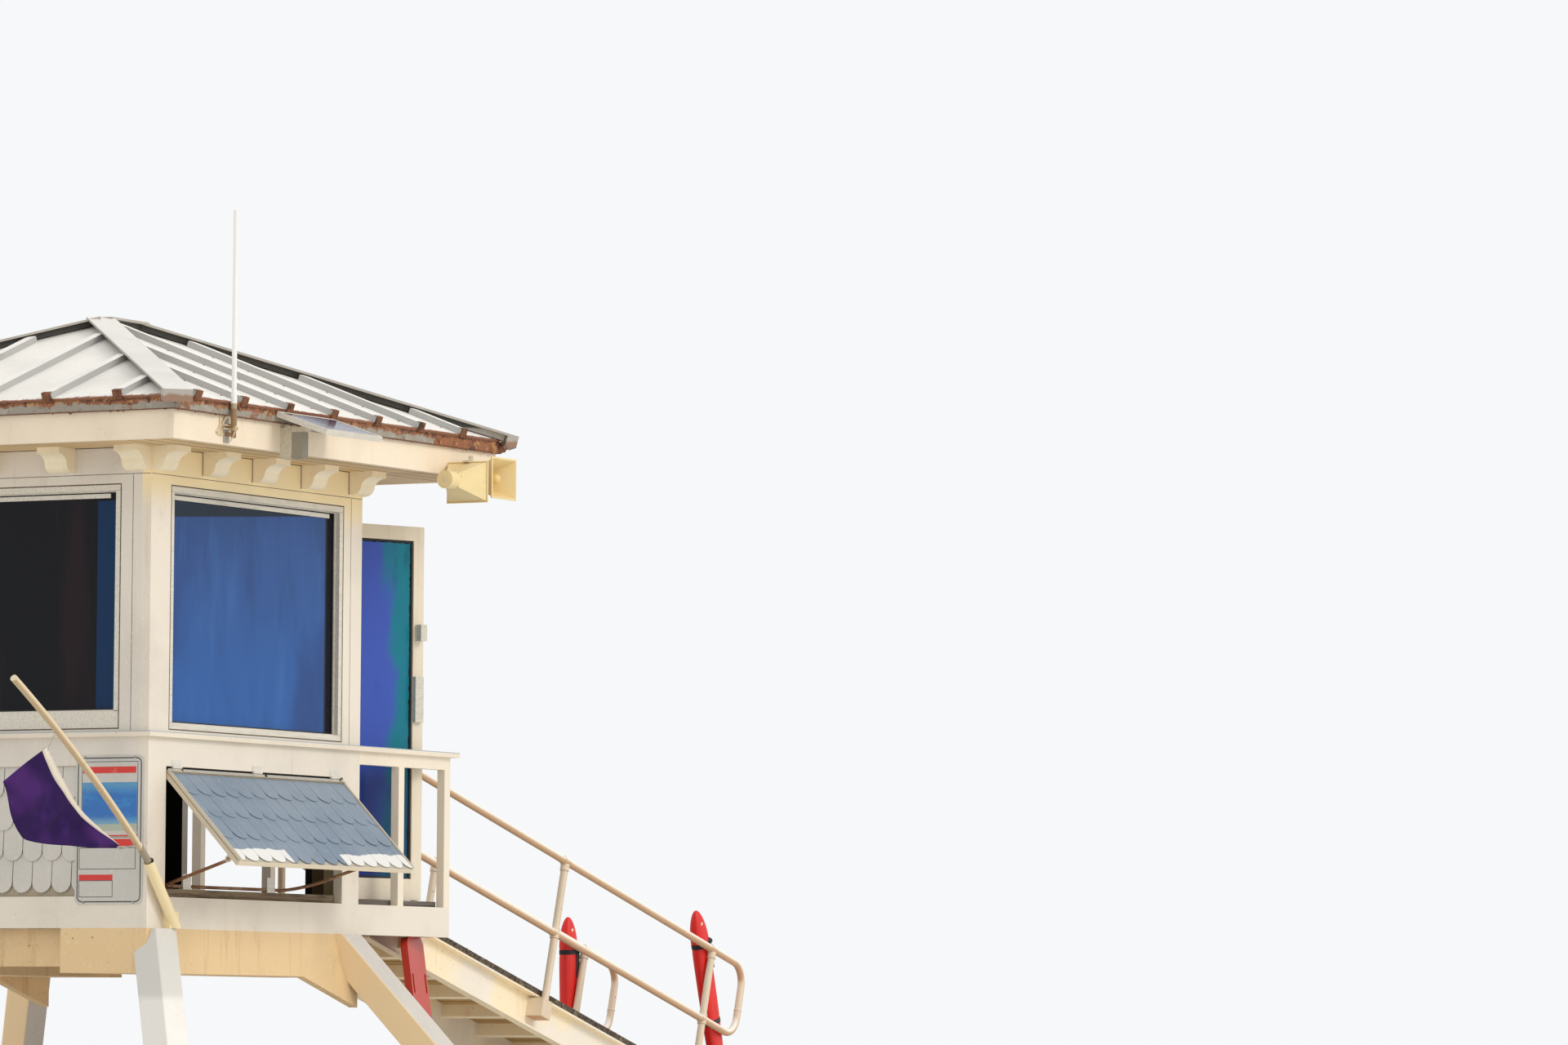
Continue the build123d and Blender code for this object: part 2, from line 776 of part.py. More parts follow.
with BuildPart(hatch_plane) as hatch_panel:
    slab(hatch_along, hatch_through, hatch_up)
    slab(
        (hatch_along[0] + hatch_edge, hatch_along[1] - hatch_edge),
        (hatch_through[0], hatch_through[0] + hatch_recess),
        (hatch_up[0], hatch_up[1] - hatch_edge),
        mode=Mode.SUBTRACT,
    )
    slab(field_along, (eye_foot, hatch_through[1]), field_up, mode=Mode.SUBTRACT)
    for place in hatch_hinge_places:
        slab(
            (place - hinge_height / 2, place + hinge_height / 2),
            (hinge_offset - hinge_plate, hinge_offset),
            (hatch_up[1] - hatch_edge, -plate_start),
        )
    for eye_x in (eye_left, eye_right):
        eye_plane = Plane(
            origin=hatch_plane.from_local_coords(Vector(eye_x, 0, 0)),
            x_dir=hatch_plane.y_dir,
            z_dir=hatch_plane.x_dir,
        )
        with BuildSketch(eye_plane) as eye:
            with Locations(((eye_foot + prop_pivot_y) / 2, prop_pivot_z)):
                Rectangle(prop_pivot_y - eye_foot, 2 * eye_radius)
            with Locations((prop_pivot_y, prop_pivot_z)):
                Circle(eye_radius)
        extrude(eye.sketch, amount=eye_thickness)
        with BuildSketch(eye_plane) as bore:
            with Locations((prop_pivot_y, prop_pivot_z)):
                Circle(prop_radius + pin_clearance)
        extrude(bore.sketch, amount=eye_thickness, mode=Mode.SUBTRACT)
keep("hatch_panel", hatch_panel)

with BuildPart() as hatch_hinges:
    for place in hatch_hinge_places:
        with Locations((place, hatch_axis_y, hatch_axis_z)):
            Cylinder(hinge_radius, hinge_height, rotation=(0, 90, 0))
        slab(
            (place - hinge_height / 2, place + hinge_height / 2),
            (-hinge_plate, 0),
            (hatch_axis_z, hatch_head + hatch_stile),
        )
keep("hatch_hinges", hatch_hinges)

# The prop is a bent rod. Its ends turn in the panel's eyes and its bar lies in the sill's clips.
sill_near = hatch_thickness + door_gap
sill_top = floor_top + sill_height
bar_y = sill_near + clip_metal + prop_radius + pin_clearance
bar_z = sill_top + clip_metal + prop_radius + pin_clearance
prop_pivot = hatch_plane.from_local_coords(Vector(0, prop_pivot_y, prop_pivot_z))
prop_arm = hypot(bar_y - prop_pivot.Y, bar_z - prop_pivot.Z)
arm_y = (bar_y - prop_pivot.Y) / prop_arm
arm_z = (bar_z - prop_pivot.Z) / prop_arm
prop_plane = Plane(origin=prop_pivot, x_dir=(1, 0, 0), z_dir=(0, -arm_z, arm_y))
with BuildPart() as hatch_prop:
    with BuildLine(prop_plane) as rod_line:
        FilletPolyline(
            (prop_left - prop_pin, 0),
            (prop_left, 0),
            (prop_bar_left, prop_arm),
            (prop_right, prop_arm),
            (prop_right, 0),
            (prop_right + prop_pin, 0),
            radius=(1.5 * prop_radius, prop_bend, prop_bend_wide, 1.5 * prop_radius),
        )
    with BuildSketch(Plane(origin=rod_line.line @ 0, z_dir=rod_line.line % 0)) as rod_end:
        Circle(prop_radius)
    sweep(rod_end.sketch, path=rod_line.line)
keep("hatch_prop", hatch_prop)

with BuildPart() as hatch_sill:
    slab((hatch_low_x, hatch_high_x), (sill_near, sill_near + sill_depth), (floor_top, sill_top))
keep("hatch_sill", hatch_sill)

with BuildPart() as sill_clips:
    lip_y = bar_y + prop_radius + pin_clearance
    for clip_x in clip_places:
        clip_span = (clip_x - clip_width / 2, clip_x + clip_width / 2)
        slab(clip_span, (sill_near, sill_near + clip_metal), (sill_top, sill_top + clip_height))
        slab(clip_span, (sill_near, lip_y + clip_metal), (sill_top, sill_top + clip_metal))
        slab(clip_span, (lip_y, lip_y + clip_metal), (sill_top, bar_z - clip_metal))
keep("sill_clips", sill_clips)


# Deck railings: a board under the cap, an end post and one baluster to each side

board_z = (ledge_bottom - rail_board_height, ledge_bottom)
post_z = (floor_top, board_z[0])
sea_railing_far = hut_width - rail_board_thickness - joint_gap
with BuildPart() as side_railings:
    for rail_y in (0, hut_width - rail_board_thickness):
        rail_span = (rail_y, rail_y + rail_board_thickness)
        slab((hut_length + joint_gap, deck_end), rail_span, board_z)
        slab((deck_end - rail_post_width, deck_end), rail_span, post_z)
        slab((baluster_x, baluster_x + baluster_width), rail_span, post_z)
keep("side_railings", side_railings)

with BuildPart() as sea_railing:
    rail_x = (deck_end - rail_board_thickness, deck_end)
    sea_baluster_y = (sea_railing_near + rail_post_width + sea_railing_far) / 2
    slab(rail_x, (sea_railing_near, sea_railing_far), board_z)
    slab(rail_x, (sea_railing_near, sea_railing_near + rail_post_width), post_z)
    slab(rail_x, (sea_baluster_y, sea_baluster_y + baluster_width), post_z)
    slab(
        (rail_x[0] - ledge_reach, deck_end + ledge_reach),
        (sea_railing_near - ledge_reach, sea_railing_far),
        (ledge_bottom, ledge_top),
    )
keep("sea_railing", sea_railing)


# Ramp: planks on two steel channels, with timber joists between them. Each side plane starts
# at the deck's end on the ramp's surface, with X down the slope and Y square to it.

slope_x = cos(radians(ramp_slope))
slope_z = sin(radians(ramp_slope))
ramp_length = ramp_top_z / slope_z
frame_top = -plank_thickness
frame_foot = frame_top - stringer_depth


def ramp_plane(y):
    """A plane along the ramp at one distance across it."""
    return Plane(
        origin=(deck_end, y, ramp_top_z), x_dir=(slope_x, 0, -slope_z), z_dir=(0, -1, 0)
    )


def ramp_block(along, across, up, mode=Mode.ADD):
    """A straight block laid along the ramp's slope."""
    with BuildSketch(ramp_plane(across[1])) as outline:
        with Locations(((along[0] + along[1]) / 2, (up[0] + up[1]) / 2)):
            Rectangle(along[1] - along[0], up[1] - up[0])
    extrude(outline.sketch, amount=across[1] - across[0], mode=mode)


with BuildPart() as ramp_frame:
    stringer_u = (-2 * stringer_tail, ramp_length)
    near_web = (ramp_near, ramp_near + flange_width)
    far_web = (ramp_far - flange_width, ramp_far)
    hollow_v = (frame_foot + flange_thickness, frame_top - flange_thickness)
    ramp_block(stringer_u, near_web, (frame_foot, frame_top))
    ramp_block(stringer_u, far_web, (frame_foot, frame_top))
    ramp_block(
        stringer_u, (near_web[0], near_web[1] - web_thickness), hollow_v, mode=Mode.SUBTRACT
    )
    ramp_block(
        stringer_u, (far_web[0] + web_thickness, far_web[1]), hollow_v, mode=Mode.SUBTRACT
    )
    for number in range(int(ramp_length / ramp_joist_spacing)):
        joist_u = 2 * ramp_joist_width + number * ramp_joist_spacing
        ramp_block(
            (joist_u, joist_u + ramp_joist_width),
            (near_web[1], far_web[0]),
            (frame_top - ramp_joist_depth, frame_top),
        )
    with Locations((deck_end - stringer_tail, 0, 0)):
        Box(
            2 * ramp_length,
            hut_width,
            floor_bottom - joint_gap,
            align=(Align.MIN,) * 3,
            mode=Mode.INTERSECT,
        )
keep("ramp_frame", ramp_frame)

with BuildPart() as ramp_planks:
    for number in range(int(ramp_length / plank_spacing)):
        plank_u = number * plank_spacing + door_gap
        ramp_block((plank_u, plank_u + plank_width), (ramp_near, ramp_far), (frame_top, 0))
    with Locations((deck_end, 0, 0)):
        Box(
            2 * ramp_length, hut_width, wall_top, align=(Align.MIN,) * 3, mode=Mode.INTERSECT
        )
keep("ramp_planks", ramp_planks)


# Handrails: a pipe loop on two square posts and a plumb head post, clamped to each stringer

def rail_station(height):
    """Distance down the slope at which a rail at this height meets the plumb head post."""
    return (head_post_reach - height * slope_z) / slope_x


def handrail(rail_y, web_y):
    """One handrail: its loop runs in the plane rail_y and its foot blocks reach to web_y."""
    side = ramp_plane(rail_y)
    outward = rail_radius if rail_y > web_y else -rail_radius
    block_y = sorted((rail_y + outward, web_y))
    with BuildPart() as piece:
        with BuildLine(side) as loop:
            FilletPolyline(
                (rail_station(top_rail_height), top_rail_height),
                (rail_end, top_rail_height),
                (rail_end, mid_rail_height),
                (rail_station(mid_rail_height), mid_rail_height),
                radius=bend_radius,
            )
        with BuildSketch(Plane(origin=loop.line @ 0, z_dir=loop.line % 0)) as pipe:
            Circle(rail_radius)
        sweep(pipe.sketch, path=loop.line)
        block_top = -foot_block_drop
        for station in post_stations:
            foot = side.from_local_coords(Vector(station, block_top - foot_block / 2, 0))
            head = side.from_local_coords(Vector(station, top_rail_height, 0))
            with BuildSketch(Plane(origin=foot, z_dir=head - foot)) as post:
                Circle(rail_radius)
            extrude(post.sketch, amount=(head - foot).length)
            ramp_block(
                (station - foot_block / 2, station + foot_block / 2),
                block_y,
                (block_top - foot_block, block_top),
            )
        head_x = deck_end + head_post_reach
        head_z = ramp_top_z - rail_station(top_rail_height) * slope_z + top_rail_height * slope_x
        foot_z = ramp_top_z - 1.5 * foot_block_drop - foot_block
        slab(
            (deck_end + door_gap, deck_end + door_gap + foot_block),
            block_y,
            (foot_z, foot_z + foot_block),
        )
        with Locations((head_x, rail_y, foot_z)):
            Cylinder(
                rail_radius,
                head_z + rail_radius - foot_z,
                align=(Align.CENTER, Align.CENTER, Align.MIN),
            )
    return piece


rail_planes = (ramp_near - rail_standoff, ramp_far + rail_standoff)
web_faces = (near_web[1] - web_thickness, far_web[0] + web_thickness)
handrail_near = handrail(rail_planes[0], web_faces[0])
handrail_far = handrail(rail_planes[1], web_faces[1])
keep("handrail_near", handrail_near)
keep("handrail_far", handrail_far)


# Sign, flagpole and flag

with BuildPart() as sign_plate:
    with BuildSketch(Plane.YZ.offset(-sign_thickness)):
        with Locations((sign_near + sign_width / 2, sign_foot + sign_height / 2)):
            RectangleRounded(sign_width, sign_height, sign_corner)
    extrude(amount=sign_thickness)
keep("sign_plate", sign_plate)

pole_side = Plane.XZ.offset(-pole_plane)
pole_run = Vector(pole_middle[0] - socket_head[0], pole_middle[1] - socket_head[1]).normalized()
pole_foot = (
    socket_head[0] - pole_run.X * pole_seat,
    socket_head[1] - pole_run.Y * pole_seat,
)


def pole_sweep(radius):
    """The pole's own slightly bowed line, at one radius."""
    with BuildPart() as piece:
        with BuildLine(pole_side) as pole_line:
            ThreePointArc(pole_foot, pole_middle, pole_tip)
        with BuildSketch(Plane(origin=pole_line.line @ 0, z_dir=pole_line.line % 0)) as section:
            Circle(radius)
        sweep(section.sketch, path=pole_line.line)
    return piece


with BuildPart() as pole_socket:
    foot = pole_side.from_local_coords(Vector(*socket_foot, 0))
    head = pole_side.from_local_coords(Vector(*socket_head, 0))
    with BuildSketch(Plane(origin=foot, z_dir=head - foot)) as tube:
        Circle(socket_radius)
    extrude(tube.sketch, amount=(head - foot).length)
    slab(
        (socket_foot[0] - 2 * socket_radius, socket_foot[0] + socket_radius),
        (pole_plane, 0),
        (rim_bottom + joint_gap, rim_bottom + 3 * socket_radius),
    )
    add(pole_sweep(socket_bore).part, mode=Mode.SUBTRACT)
    slab(
        (-hut_length, hut_length),
        (-hut_width, hut_width),
        (0, rim_bottom + joint_gap),
        mode=Mode.SUBTRACT,
    )
keep("pole_socket", pole_socket)

flagpole = pole_sweep(pole_radius)
keep("flagpole", flagpole)

with BuildPart() as flag:
    with BuildSketch(pole_side.offset(-flag_thickness / 2)) as cloth:
        with BuildLine():
            Spline(flag_head, *flag_hoist, flag_foot)
            Spline(flag_foot, flag_hem, flag_fly_foot)
            Line(flag_fly_foot, flag_fly_head)
            Line(flag_fly_head, flag_head)
        make_face()
    extrude(cloth.sketch, amount=flag_thickness)
keep("flag", flag)

with BuildPart() as flag_ties:
    for tie in flag_tie_ends:
        start = pole_side.from_local_coords(Vector(*tie[0], 0))
        end = pole_side.from_local_coords(Vector(*tie[1], 0))
        with BuildSketch(Plane(origin=start, z_dir=end - start)) as link:
            Circle(tie_radius)
        extrude(link.sketch, amount=(end - start).length)
    add(flagpole.part, mode=Mode.SUBTRACT)
keep("flag_ties", flag_ties)


# Fittings on the near fascia: solar panel, horns and antenna

fascia_face = eave_low_y
panel_tilt = radians(solar_tilt)
solar_plane = Plane(
    origin=(solar_near_x, fascia_face - drip_proud - 2 * solar_clearance, eave_z - solar_clearance),
    x_dir=(1, 0, 0),
    z_dir=(0, -sin(panel_tilt), cos(panel_tilt)),
)
with BuildPart(solar_plane) as solar_panel:
    slab((0, solar_width), (-solar_depth, 0), (-solar_thickness, 0))
keep("solar_panel", solar_panel)

with BuildPart() as solar_bracket:
    slab(
        solar_bracket_x,
        (fascia_face - solar_bracket_reach, fascia_face),
        solar_bracket_z,
    )
    arm_left = solar_bracket_x[0] - solar_near_x
    with BuildSketch(solar_plane.offset(-solar_thickness)) as arm:
        with Locations(((arm_left + solar_width) / 2, solar_arm / 2 - solar_bracket_reach)):
            Rectangle(solar_width - arm_left, solar_arm)
    extrude(arm.sketch, amount=-solar_arm)
keep("solar_bracket", solar_bracket)


def horn(mouth, facing, side):
    """A hollow square horn on a round driver: mouth is the middle of its open end."""
    throat = mouth - facing * horn_length
    back = throat - facing * horn_driver_length
    with BuildPart() as piece:
        with BuildSketch(Plane(origin=throat, x_dir=side, z_dir=facing)) as narrow:
            Rectangle(horn_throat, horn_throat)
        with BuildSketch(Plane(origin=mouth, x_dir=side, z_dir=facing)) as wide:
            Rectangle(horn_mouth_width, horn_mouth_height)
        loft([narrow.sketch, wide.sketch])
        with BuildSketch(Plane(origin=throat, x_dir=side, z_dir=facing)) as narrow_bore:
            Rectangle(horn_throat - 2 * horn_wall, horn_throat - 2 * horn_wall)
        with BuildSketch(Plane(origin=mouth, x_dir=side, z_dir=facing)) as wide_bore:
            Rectangle(horn_mouth_width - 2 * horn_wall, horn_mouth_height - 2 * horn_wall)
        loft([narrow_bore.sketch, wide_bore.sketch], mode=Mode.SUBTRACT)
        with BuildSketch(Plane(origin=back, x_dir=side, z_dir=facing)) as driver:
            Circle(horn_driver_radius)
        extrude(driver.sketch, amount=horn_driver_length + horn_wall)
    return piece


with BuildPart() as horn_speakers:
    add(horn(Vector(*sea_horn), Vector(1, 0, 0), Vector(0, 1, 0)).part)
    add(horn(Vector(*near_horn), Vector(0, -1, 0), Vector(1, 0, 0)).part)
keep("horn_speakers", horn_speakers)

with BuildPart() as horn_bracket:
    strap_y = (fascia_face - horn_strap_thickness, fascia_face)
    arm_foot = sea_horn[2] + horn_mouth_height / 2
    arm_rise = (arm_foot, arm_foot + 2 * horn_strap_thickness)
    arm_y = (sea_horn[1] - horn_arm_half_width, sea_horn[1] + horn_arm_half_width)
    slab(horn_strap_x, strap_y, horn_strap_z)
    slab(horn_strap_x, (arm_y[0], fascia_face), arm_rise)
    slab((sea_horn[0] - horn_arm_overlap, horn_strap_x[1]), arm_y, arm_rise)
    slab(
        (near_horn[0] - horn_arm_half_width, near_horn[0] + horn_arm_half_width),
        arm_y,
        (near_horn[2] + horn_throat / 2, arm_rise[1]),
    )
    add(horn_speakers.part, mode=Mode.SUBTRACT)
keep("horn_bracket", horn_bracket)

antenna_y = fascia_face - antenna_standoff
with BuildPart() as antenna:
    with Locations((antenna_x, antenna_y, antenna_foot)):
        Cylinder(
            antenna_radius,
            antenna_length,
            align=(Align.CENTER, Align.CENTER, Align.MIN),
        )
    with Locations((antenna_x, antenna_y, antenna_foot + antenna_sleeve_start)):
        Cylinder(
            antenna_radius + antenna_sleeve_wall,
            antenna_sleeve_length,
            align=(Align.CENTER, Align.CENTER, Align.MIN),
        )
    plate_x = (antenna_x - antenna_plate_width / 2, antenna_x + antenna_plate_width / 2)
    slab(plate_x, (fascia_face - horn_strap_thickness, fascia_face), antenna_plate_z)
    clamp_reach = antenna_radius + antenna_clamp_side
    for clamp_z in (
        antenna_foot + antenna_clamp_inset / 3,
        antenna_plate_z[1] - antenna_clamp_inset - antenna_clamp_height,
    ):
        slab(
            (antenna_x - clamp_reach, antenna_x + clamp_reach),
            (antenna_y, fascia_face),
            (clamp_z, clamp_z + antenna_clamp_height),
        )
keep("antenna", antenna)


# Rescue tubes on the handrails, and the backboard stood under the deck

def rescue_tube(top, lean, y):
    """A foam tube, its flat side along the rail: top is the middle of its upper end."""
    run = Vector(sin(radians(lean)), 0, -cos(radians(lean)))
    with BuildPart() as piece:
        with BuildSketch(Plane(origin=(top[0], y, top[1]), x_dir=(0, 1, 0), z_dir=run)) as end:
            RectangleRounded(tube_depth, tube_width, tube_depth * 0.4)
        extrude(end.sketch, amount=tube_length)
    return piece


near_tube_y = rail_planes[0] + rail_radius + tube_gap + tube_depth / 2
far_tube_y = rail_planes[1] + rail_radius + tube_gap + tube_depth / 2
with BuildPart() as rescue_tubes:
    add(rescue_tube(near_tube_top, near_tube_lean, near_tube_y).part)
    add(rescue_tube(far_tube_top, far_tube_lean, far_tube_y).part)
keep("rescue_tubes", rescue_tubes)

yaw = radians(backboard_yaw)
lean = radians(backboard_lean)
board_across = Vector(cos(yaw), sin(yaw), 0)
board_up = Vector(-sin(yaw) * sin(lean), cos(yaw) * sin(lean), cos(lean))
board_length = (rim_bottom - joint_gap - backboard_thickness * sin(lean)) / cos(lean)
board_head = Vector(backboard_corner[0], backboard_corner[1], board_length * cos(lean))
board_plane = Plane(
    origin=board_head - board_up * board_length,
    x_dir=board_across,
    z_dir=board_across.cross(board_up),
)
with BuildPart() as backboard:
    with BuildSketch(board_plane) as outline:
        with Locations((backboard_width / 2, board_length / 2)):
            RectangleRounded(backboard_width, board_length, backboard_rounding)
            with GridLocations(backboard_width - 3 * hand_hole_width, board_length / 4, 2, 3):
                SlotOverall(hand_hole_length, hand_hole_width, rotation=90, mode=Mode.SUBTRACT)
    extrude(outline.sketch, amount=backboard_thickness)
keep("backboard", backboard)


# Export, moved so that the origin is the middle of the base

everything = Compound([piece.part for piece in finished.values()]).bounding_box()
base = Location((-everything.center().X, -everything.center().Y, -everything.min.Z))
os.makedirs("parts", exist_ok=True)
for name, piece in finished.items():
    moved = piece.part.moved(base)
    moved.label = name
    export_step(moved, f"parts/{name}.step")
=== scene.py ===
"""Finish, small parts, light and camera of the beach lifeguard tower.

Working sizes are in millimetres from the hut's near landward corner, with +X toward the sea,
+Y away from the near face and +Z up. spot() turns them into the frame's metres.
"""

import random
from math import cos, hypot, pi, radians, sin

import bmesh
import bpy
from mathutils import Matrix, Vector


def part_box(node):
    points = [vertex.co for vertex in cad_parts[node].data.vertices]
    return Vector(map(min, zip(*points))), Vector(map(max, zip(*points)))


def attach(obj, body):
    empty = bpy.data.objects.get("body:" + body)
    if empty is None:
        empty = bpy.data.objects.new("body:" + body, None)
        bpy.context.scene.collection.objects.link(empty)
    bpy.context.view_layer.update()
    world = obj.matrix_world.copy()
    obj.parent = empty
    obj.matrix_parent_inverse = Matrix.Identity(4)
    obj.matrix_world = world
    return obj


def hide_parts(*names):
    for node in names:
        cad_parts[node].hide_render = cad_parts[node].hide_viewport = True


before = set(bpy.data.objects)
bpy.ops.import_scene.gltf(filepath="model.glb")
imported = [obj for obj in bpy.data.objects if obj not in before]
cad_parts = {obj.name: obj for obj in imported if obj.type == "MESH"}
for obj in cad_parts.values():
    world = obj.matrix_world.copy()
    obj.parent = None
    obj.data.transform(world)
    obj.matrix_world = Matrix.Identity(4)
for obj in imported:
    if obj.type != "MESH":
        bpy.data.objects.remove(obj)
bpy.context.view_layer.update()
hut_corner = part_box("near_wall")[0]
draw = random.Random(11).uniform


def spot(x, y, z):
    """A working point as a point of the frame."""
    return Vector((hut_corner.x + x / 1000, hut_corner.y + y / 1000, z / 1000))


def axes(origin, across, up):
    """A local frame in millimetres: across and up are directions, and the third is square to both."""
    across = Vector(across).normalized()
    out = across.cross(Vector(up)).normalized()
    up = out.cross(across)
    place = Matrix((across, up, out)).transposed().to_4x4()
    return Matrix.Translation(spot(*origin)) @ place @ Matrix.Scale(0.001, 4)


# Main measures

hut_length = 2200
hut_width = 2200
wall_head = 3764
room_across = (59, 2141)
room_up = (1262, 3764.5)
pane_up = (2200, 3560)
eave_low = -440
eave_high_x = 3025
eave_high_y = 2640
eave_z = 3991
roof_rise = 580
roof_run = 1540


# Materials. The numbers are those of a mix node's sockets for colour.

mix_share = 0
mix_under = 6
mix_over = 7
mix_result = 2


def tone(red, green, blue):
    """A colour given as it looks on a screen, 0 to 255, as shader values."""
    def linear(value):
        value = value / 255
        return value / 12.92 if value <= 0.04045 else ((value + 0.055) / 1.055) ** 2.4

    return (linear(red), linear(green), linear(blue), 1.0)


def fill(node, sockets):
    """Puts numbers, colours or other nodes' outputs into a node's sockets."""
    for name, value in sockets.items():
        if isinstance(value, bpy.types.NodeSocket):
            node.id_data.links.new(value, node.inputs[name])
        else:
            node.inputs[name].default_value = value


def add_node(tree, kind, sockets=None):
    """A new shader node, with what its sockets hold."""
    made = tree.nodes.new("ShaderNode" + kind)
    fill(made, sockets or {})
    return made


class Look:
    """One procedural material, drawn in the object's own coordinates in metres."""

    def __init__(self, name, colour, roughness=0.6, metallic=0.0):
        self.material = bpy.data.materials.new(name)
        self.material.use_nodes = True
        self.shader = self.material.node_tree.nodes["Principled BSDF"]
        self.hold({"Metallic": metallic, "Roughness": roughness})
        self.place = self.node("TexCoord").outputs["Object"]
        self.colour = tone(*colour)
        self.height = None

    def hold(self, sockets):
        """Fills the shader's own sockets."""
        fill(self.shader, sockets)
        return self

    def node(self, kind, sockets=None):
        """A new node of this material."""
        return add_node(self.material.node_tree, kind, sockets)

    def stretched(self, scale):
        """The object's coordinates, stretched."""
        return self.node("Mapping", {"Scale": scale, "Vector": self.place}).outputs["Vector"]

    def noise(self, scale, stretch=(1, 1, 1), detail=4, rough=0.55, twist=0.0):
        """Cloudy noise between 0 and 1."""
        sockets = {"Scale": scale, "Detail": detail, "Roughness": rough, "Distortion": twist}
        return self.node("TexNoise", {**sockets, "Vector": self.stretched(stretch)}).outputs["Fac"]

    def shade(self, value, low, high):
        """A smooth step from 0 at low to 1 at high."""
        made = self.node("MapRange", {"From Min": low, "From Max": high, "Value": value})
        made.interpolation_type = "SMOOTHSTEP"
        return made.outputs["Result"]

    def maths(self, kind, first, second=0):
        """One arithmetic step on two values."""
        made = self.node("Math", {0: first, 1: second})
        made.operation = kind
        return made.outputs["Value"]

    def plus(self, first, second):
        """A sum."""
        return self.maths("ADD", first, second)

    def times(self, first, second):
        """A product."""
        return self.maths("MULTIPLY", first, second)

    def part(self, name, source=None):
        """One coordinate of the place, or of another vector."""
        return self.node("SeparateXYZ", {"Vector": source or self.place}).outputs[name]

    def facing(self, name):
        """One component of the surface's direction."""
        return self.part(name, self.node("NewGeometry").outputs["Normal"])

    def wavy(self, name, value, amount):
        """One coordinate of the place, pushed on by a share of a noise."""
        return self.plus(self.part(name), self.times(value, amount))

    def over(self, colour, mask, amount=1.0):
        """Lays a colour over what is there, where the mask says."""
        share = mask if amount == 1.0 else self.times(mask, amount)
        mixer = self.node("Mix")
        mixer.data_type = "RGBA"
        fill(mixer, {mix_share: share, mix_under: self.colour, mix_over: tone(*colour)})
        self.colour = mixer.outputs[mix_result]
        return self

    def tint(self, colour, value, low, high, amount=1.0):
        """Lays a colour where a value passes from low to high."""
        return self.over(colour, self.shade(value, low, high), amount)

    def blots(self, colour, low, high, amount, scale, **kind):
        """Lays a colour in blots of its own noise."""
        return self.tint(colour, self.noise(scale, **kind), low, high, amount)

    def along(self, colour, name, low, high, amount):
        """Lays a colour where one coordinate of the place passes from low to high."""
        return self.tint(colour, self.part(name), low, high, amount)

    def turned(self, colour, name, low, high, amount):
        """Lays a colour by the way that the surface faces."""
        return self.tint(colour, self.facing(name), low, high, amount)

    def relief(self, value, depth):
        """Adds to the bump, in millimetres."""
        step = self.times(value, depth / 1000)
        self.height = step if self.height is None else self.plus(self.height, step)
        return self

    def between(self, name, low, high, soft=0.001):
        """1 where one coordinate of the frame lies between two limits."""
        place = self.part(name)
        return self.times(self.shade(place, low - soft, low), self.shade(place, high + soft, high))

    def within(self, x, y, z):
        """1 inside a box of working millimetres."""
        span = zip(spot(x[0], y[0], z[0]), spot(x[1], y[1], z[1]))
        masks = [self.between(name, *limits) for name, limits in zip("XYZ", span)]
        return self.times(self.times(masks[0], masks[1]), masks[2])

    def zones(self, *places):
        """Lays colours over boxes: each place is a colour, its x, y and z, and how much of it."""
        for colour, x, y, z, *amount in places:
            self.over(colour, self.within(x, y, z), *amount)
        return self

    def gloss(self, value, low, high):
        """Roughness between two limits, following a value."""
        made = self.node("MapRange", {"To Min": low, "To Max": high, "Value": value})
        return self.hold({"Roughness": made.outputs["Result"]})

    def joined(self):
        """The material, with its colour and bump joined to the shader the first time."""
        if self.place is not None:
            self.hold({"Base Color": self.colour})
            if self.height is not None:
                bump = self.node("Bump", {"Distance": 1.0, "Height": self.height})
                self.hold({"Normal": bump.outputs["Normal"]})
            self.place = None
        return self.material


def painted(name, colour, stain=(196, 160, 112), streaks=0.35, spots=0.3, bump=0.35, room=False):
    """Brushed outdoor paint with rain streaks and small stains. room paints shade over what faces the
    inside of the hut.
    """
    look = Look(name, colour, roughness=0.55)
    cloud = look.noise(1.7, detail=5)
    patch = look.noise(4.3, detail=6, rough=0.7)
    look.tint(tuple(int(value * 0.9) for value in colour), cloud, 0.42, 0.72, 0.5)
    look.blots(stain, 0.56, 0.8, streaks, 9, stretch=(1, 1, 0.09), detail=5, rough=0.65)
    look.tint((150, 132, 108), patch, 0.6, 0.78, streaks * 0.6)
    look.blots((128, 84, 48), 0.7, 0.76, spots, 38, detail=2)
    look.blots((255, 252, 246), 0.56, 0.8, 0.3, 55, detail=3)
    # Painted shade: a dark colour over the hut's inside, as if unlit.
    if room:
        look.zones(((44, 40, 40), room_across, room_across, room_up))
    look.relief(look.noise(90, stretch=(1, 1, 0.2), detail=3), bump)
    look.relief(patch, bump * 1.5)
    return look.gloss(cloud, 0.42, 0.68)


def timber(name, colour, dark, pale, grain=(1, 0.06, 1), split=0.6, bump=1.6):
    """Weathered boards with grain, splits and blotches; grain is short along the board's length."""
    look = Look(name, colour, roughness=0.85)
    fibre = look.noise(70, stretch=grain, detail=6, rough=0.7)
    blotch = look.noise(2.6, detail=5, rough=0.65)
    crack = look.noise(24, stretch=grain, detail=2, twist=0.6)
    look.tint(dark, fibre, 0.42, 0.66, 0.75)
    look.blots(pale, 0.55, 0.75, 0.6, 11, stretch=grain, detail=3)
    look.tint(dark, blotch, 0.52, 0.72, 0.5)
    look.tint((34, 28, 24), crack, 0.63, 0.68, split)
    look.relief(fibre, bump)
    look.relief(look.shade(crack, 0.68, 0.6), bump)
    return look.gloss(blotch, 0.7, 0.95)


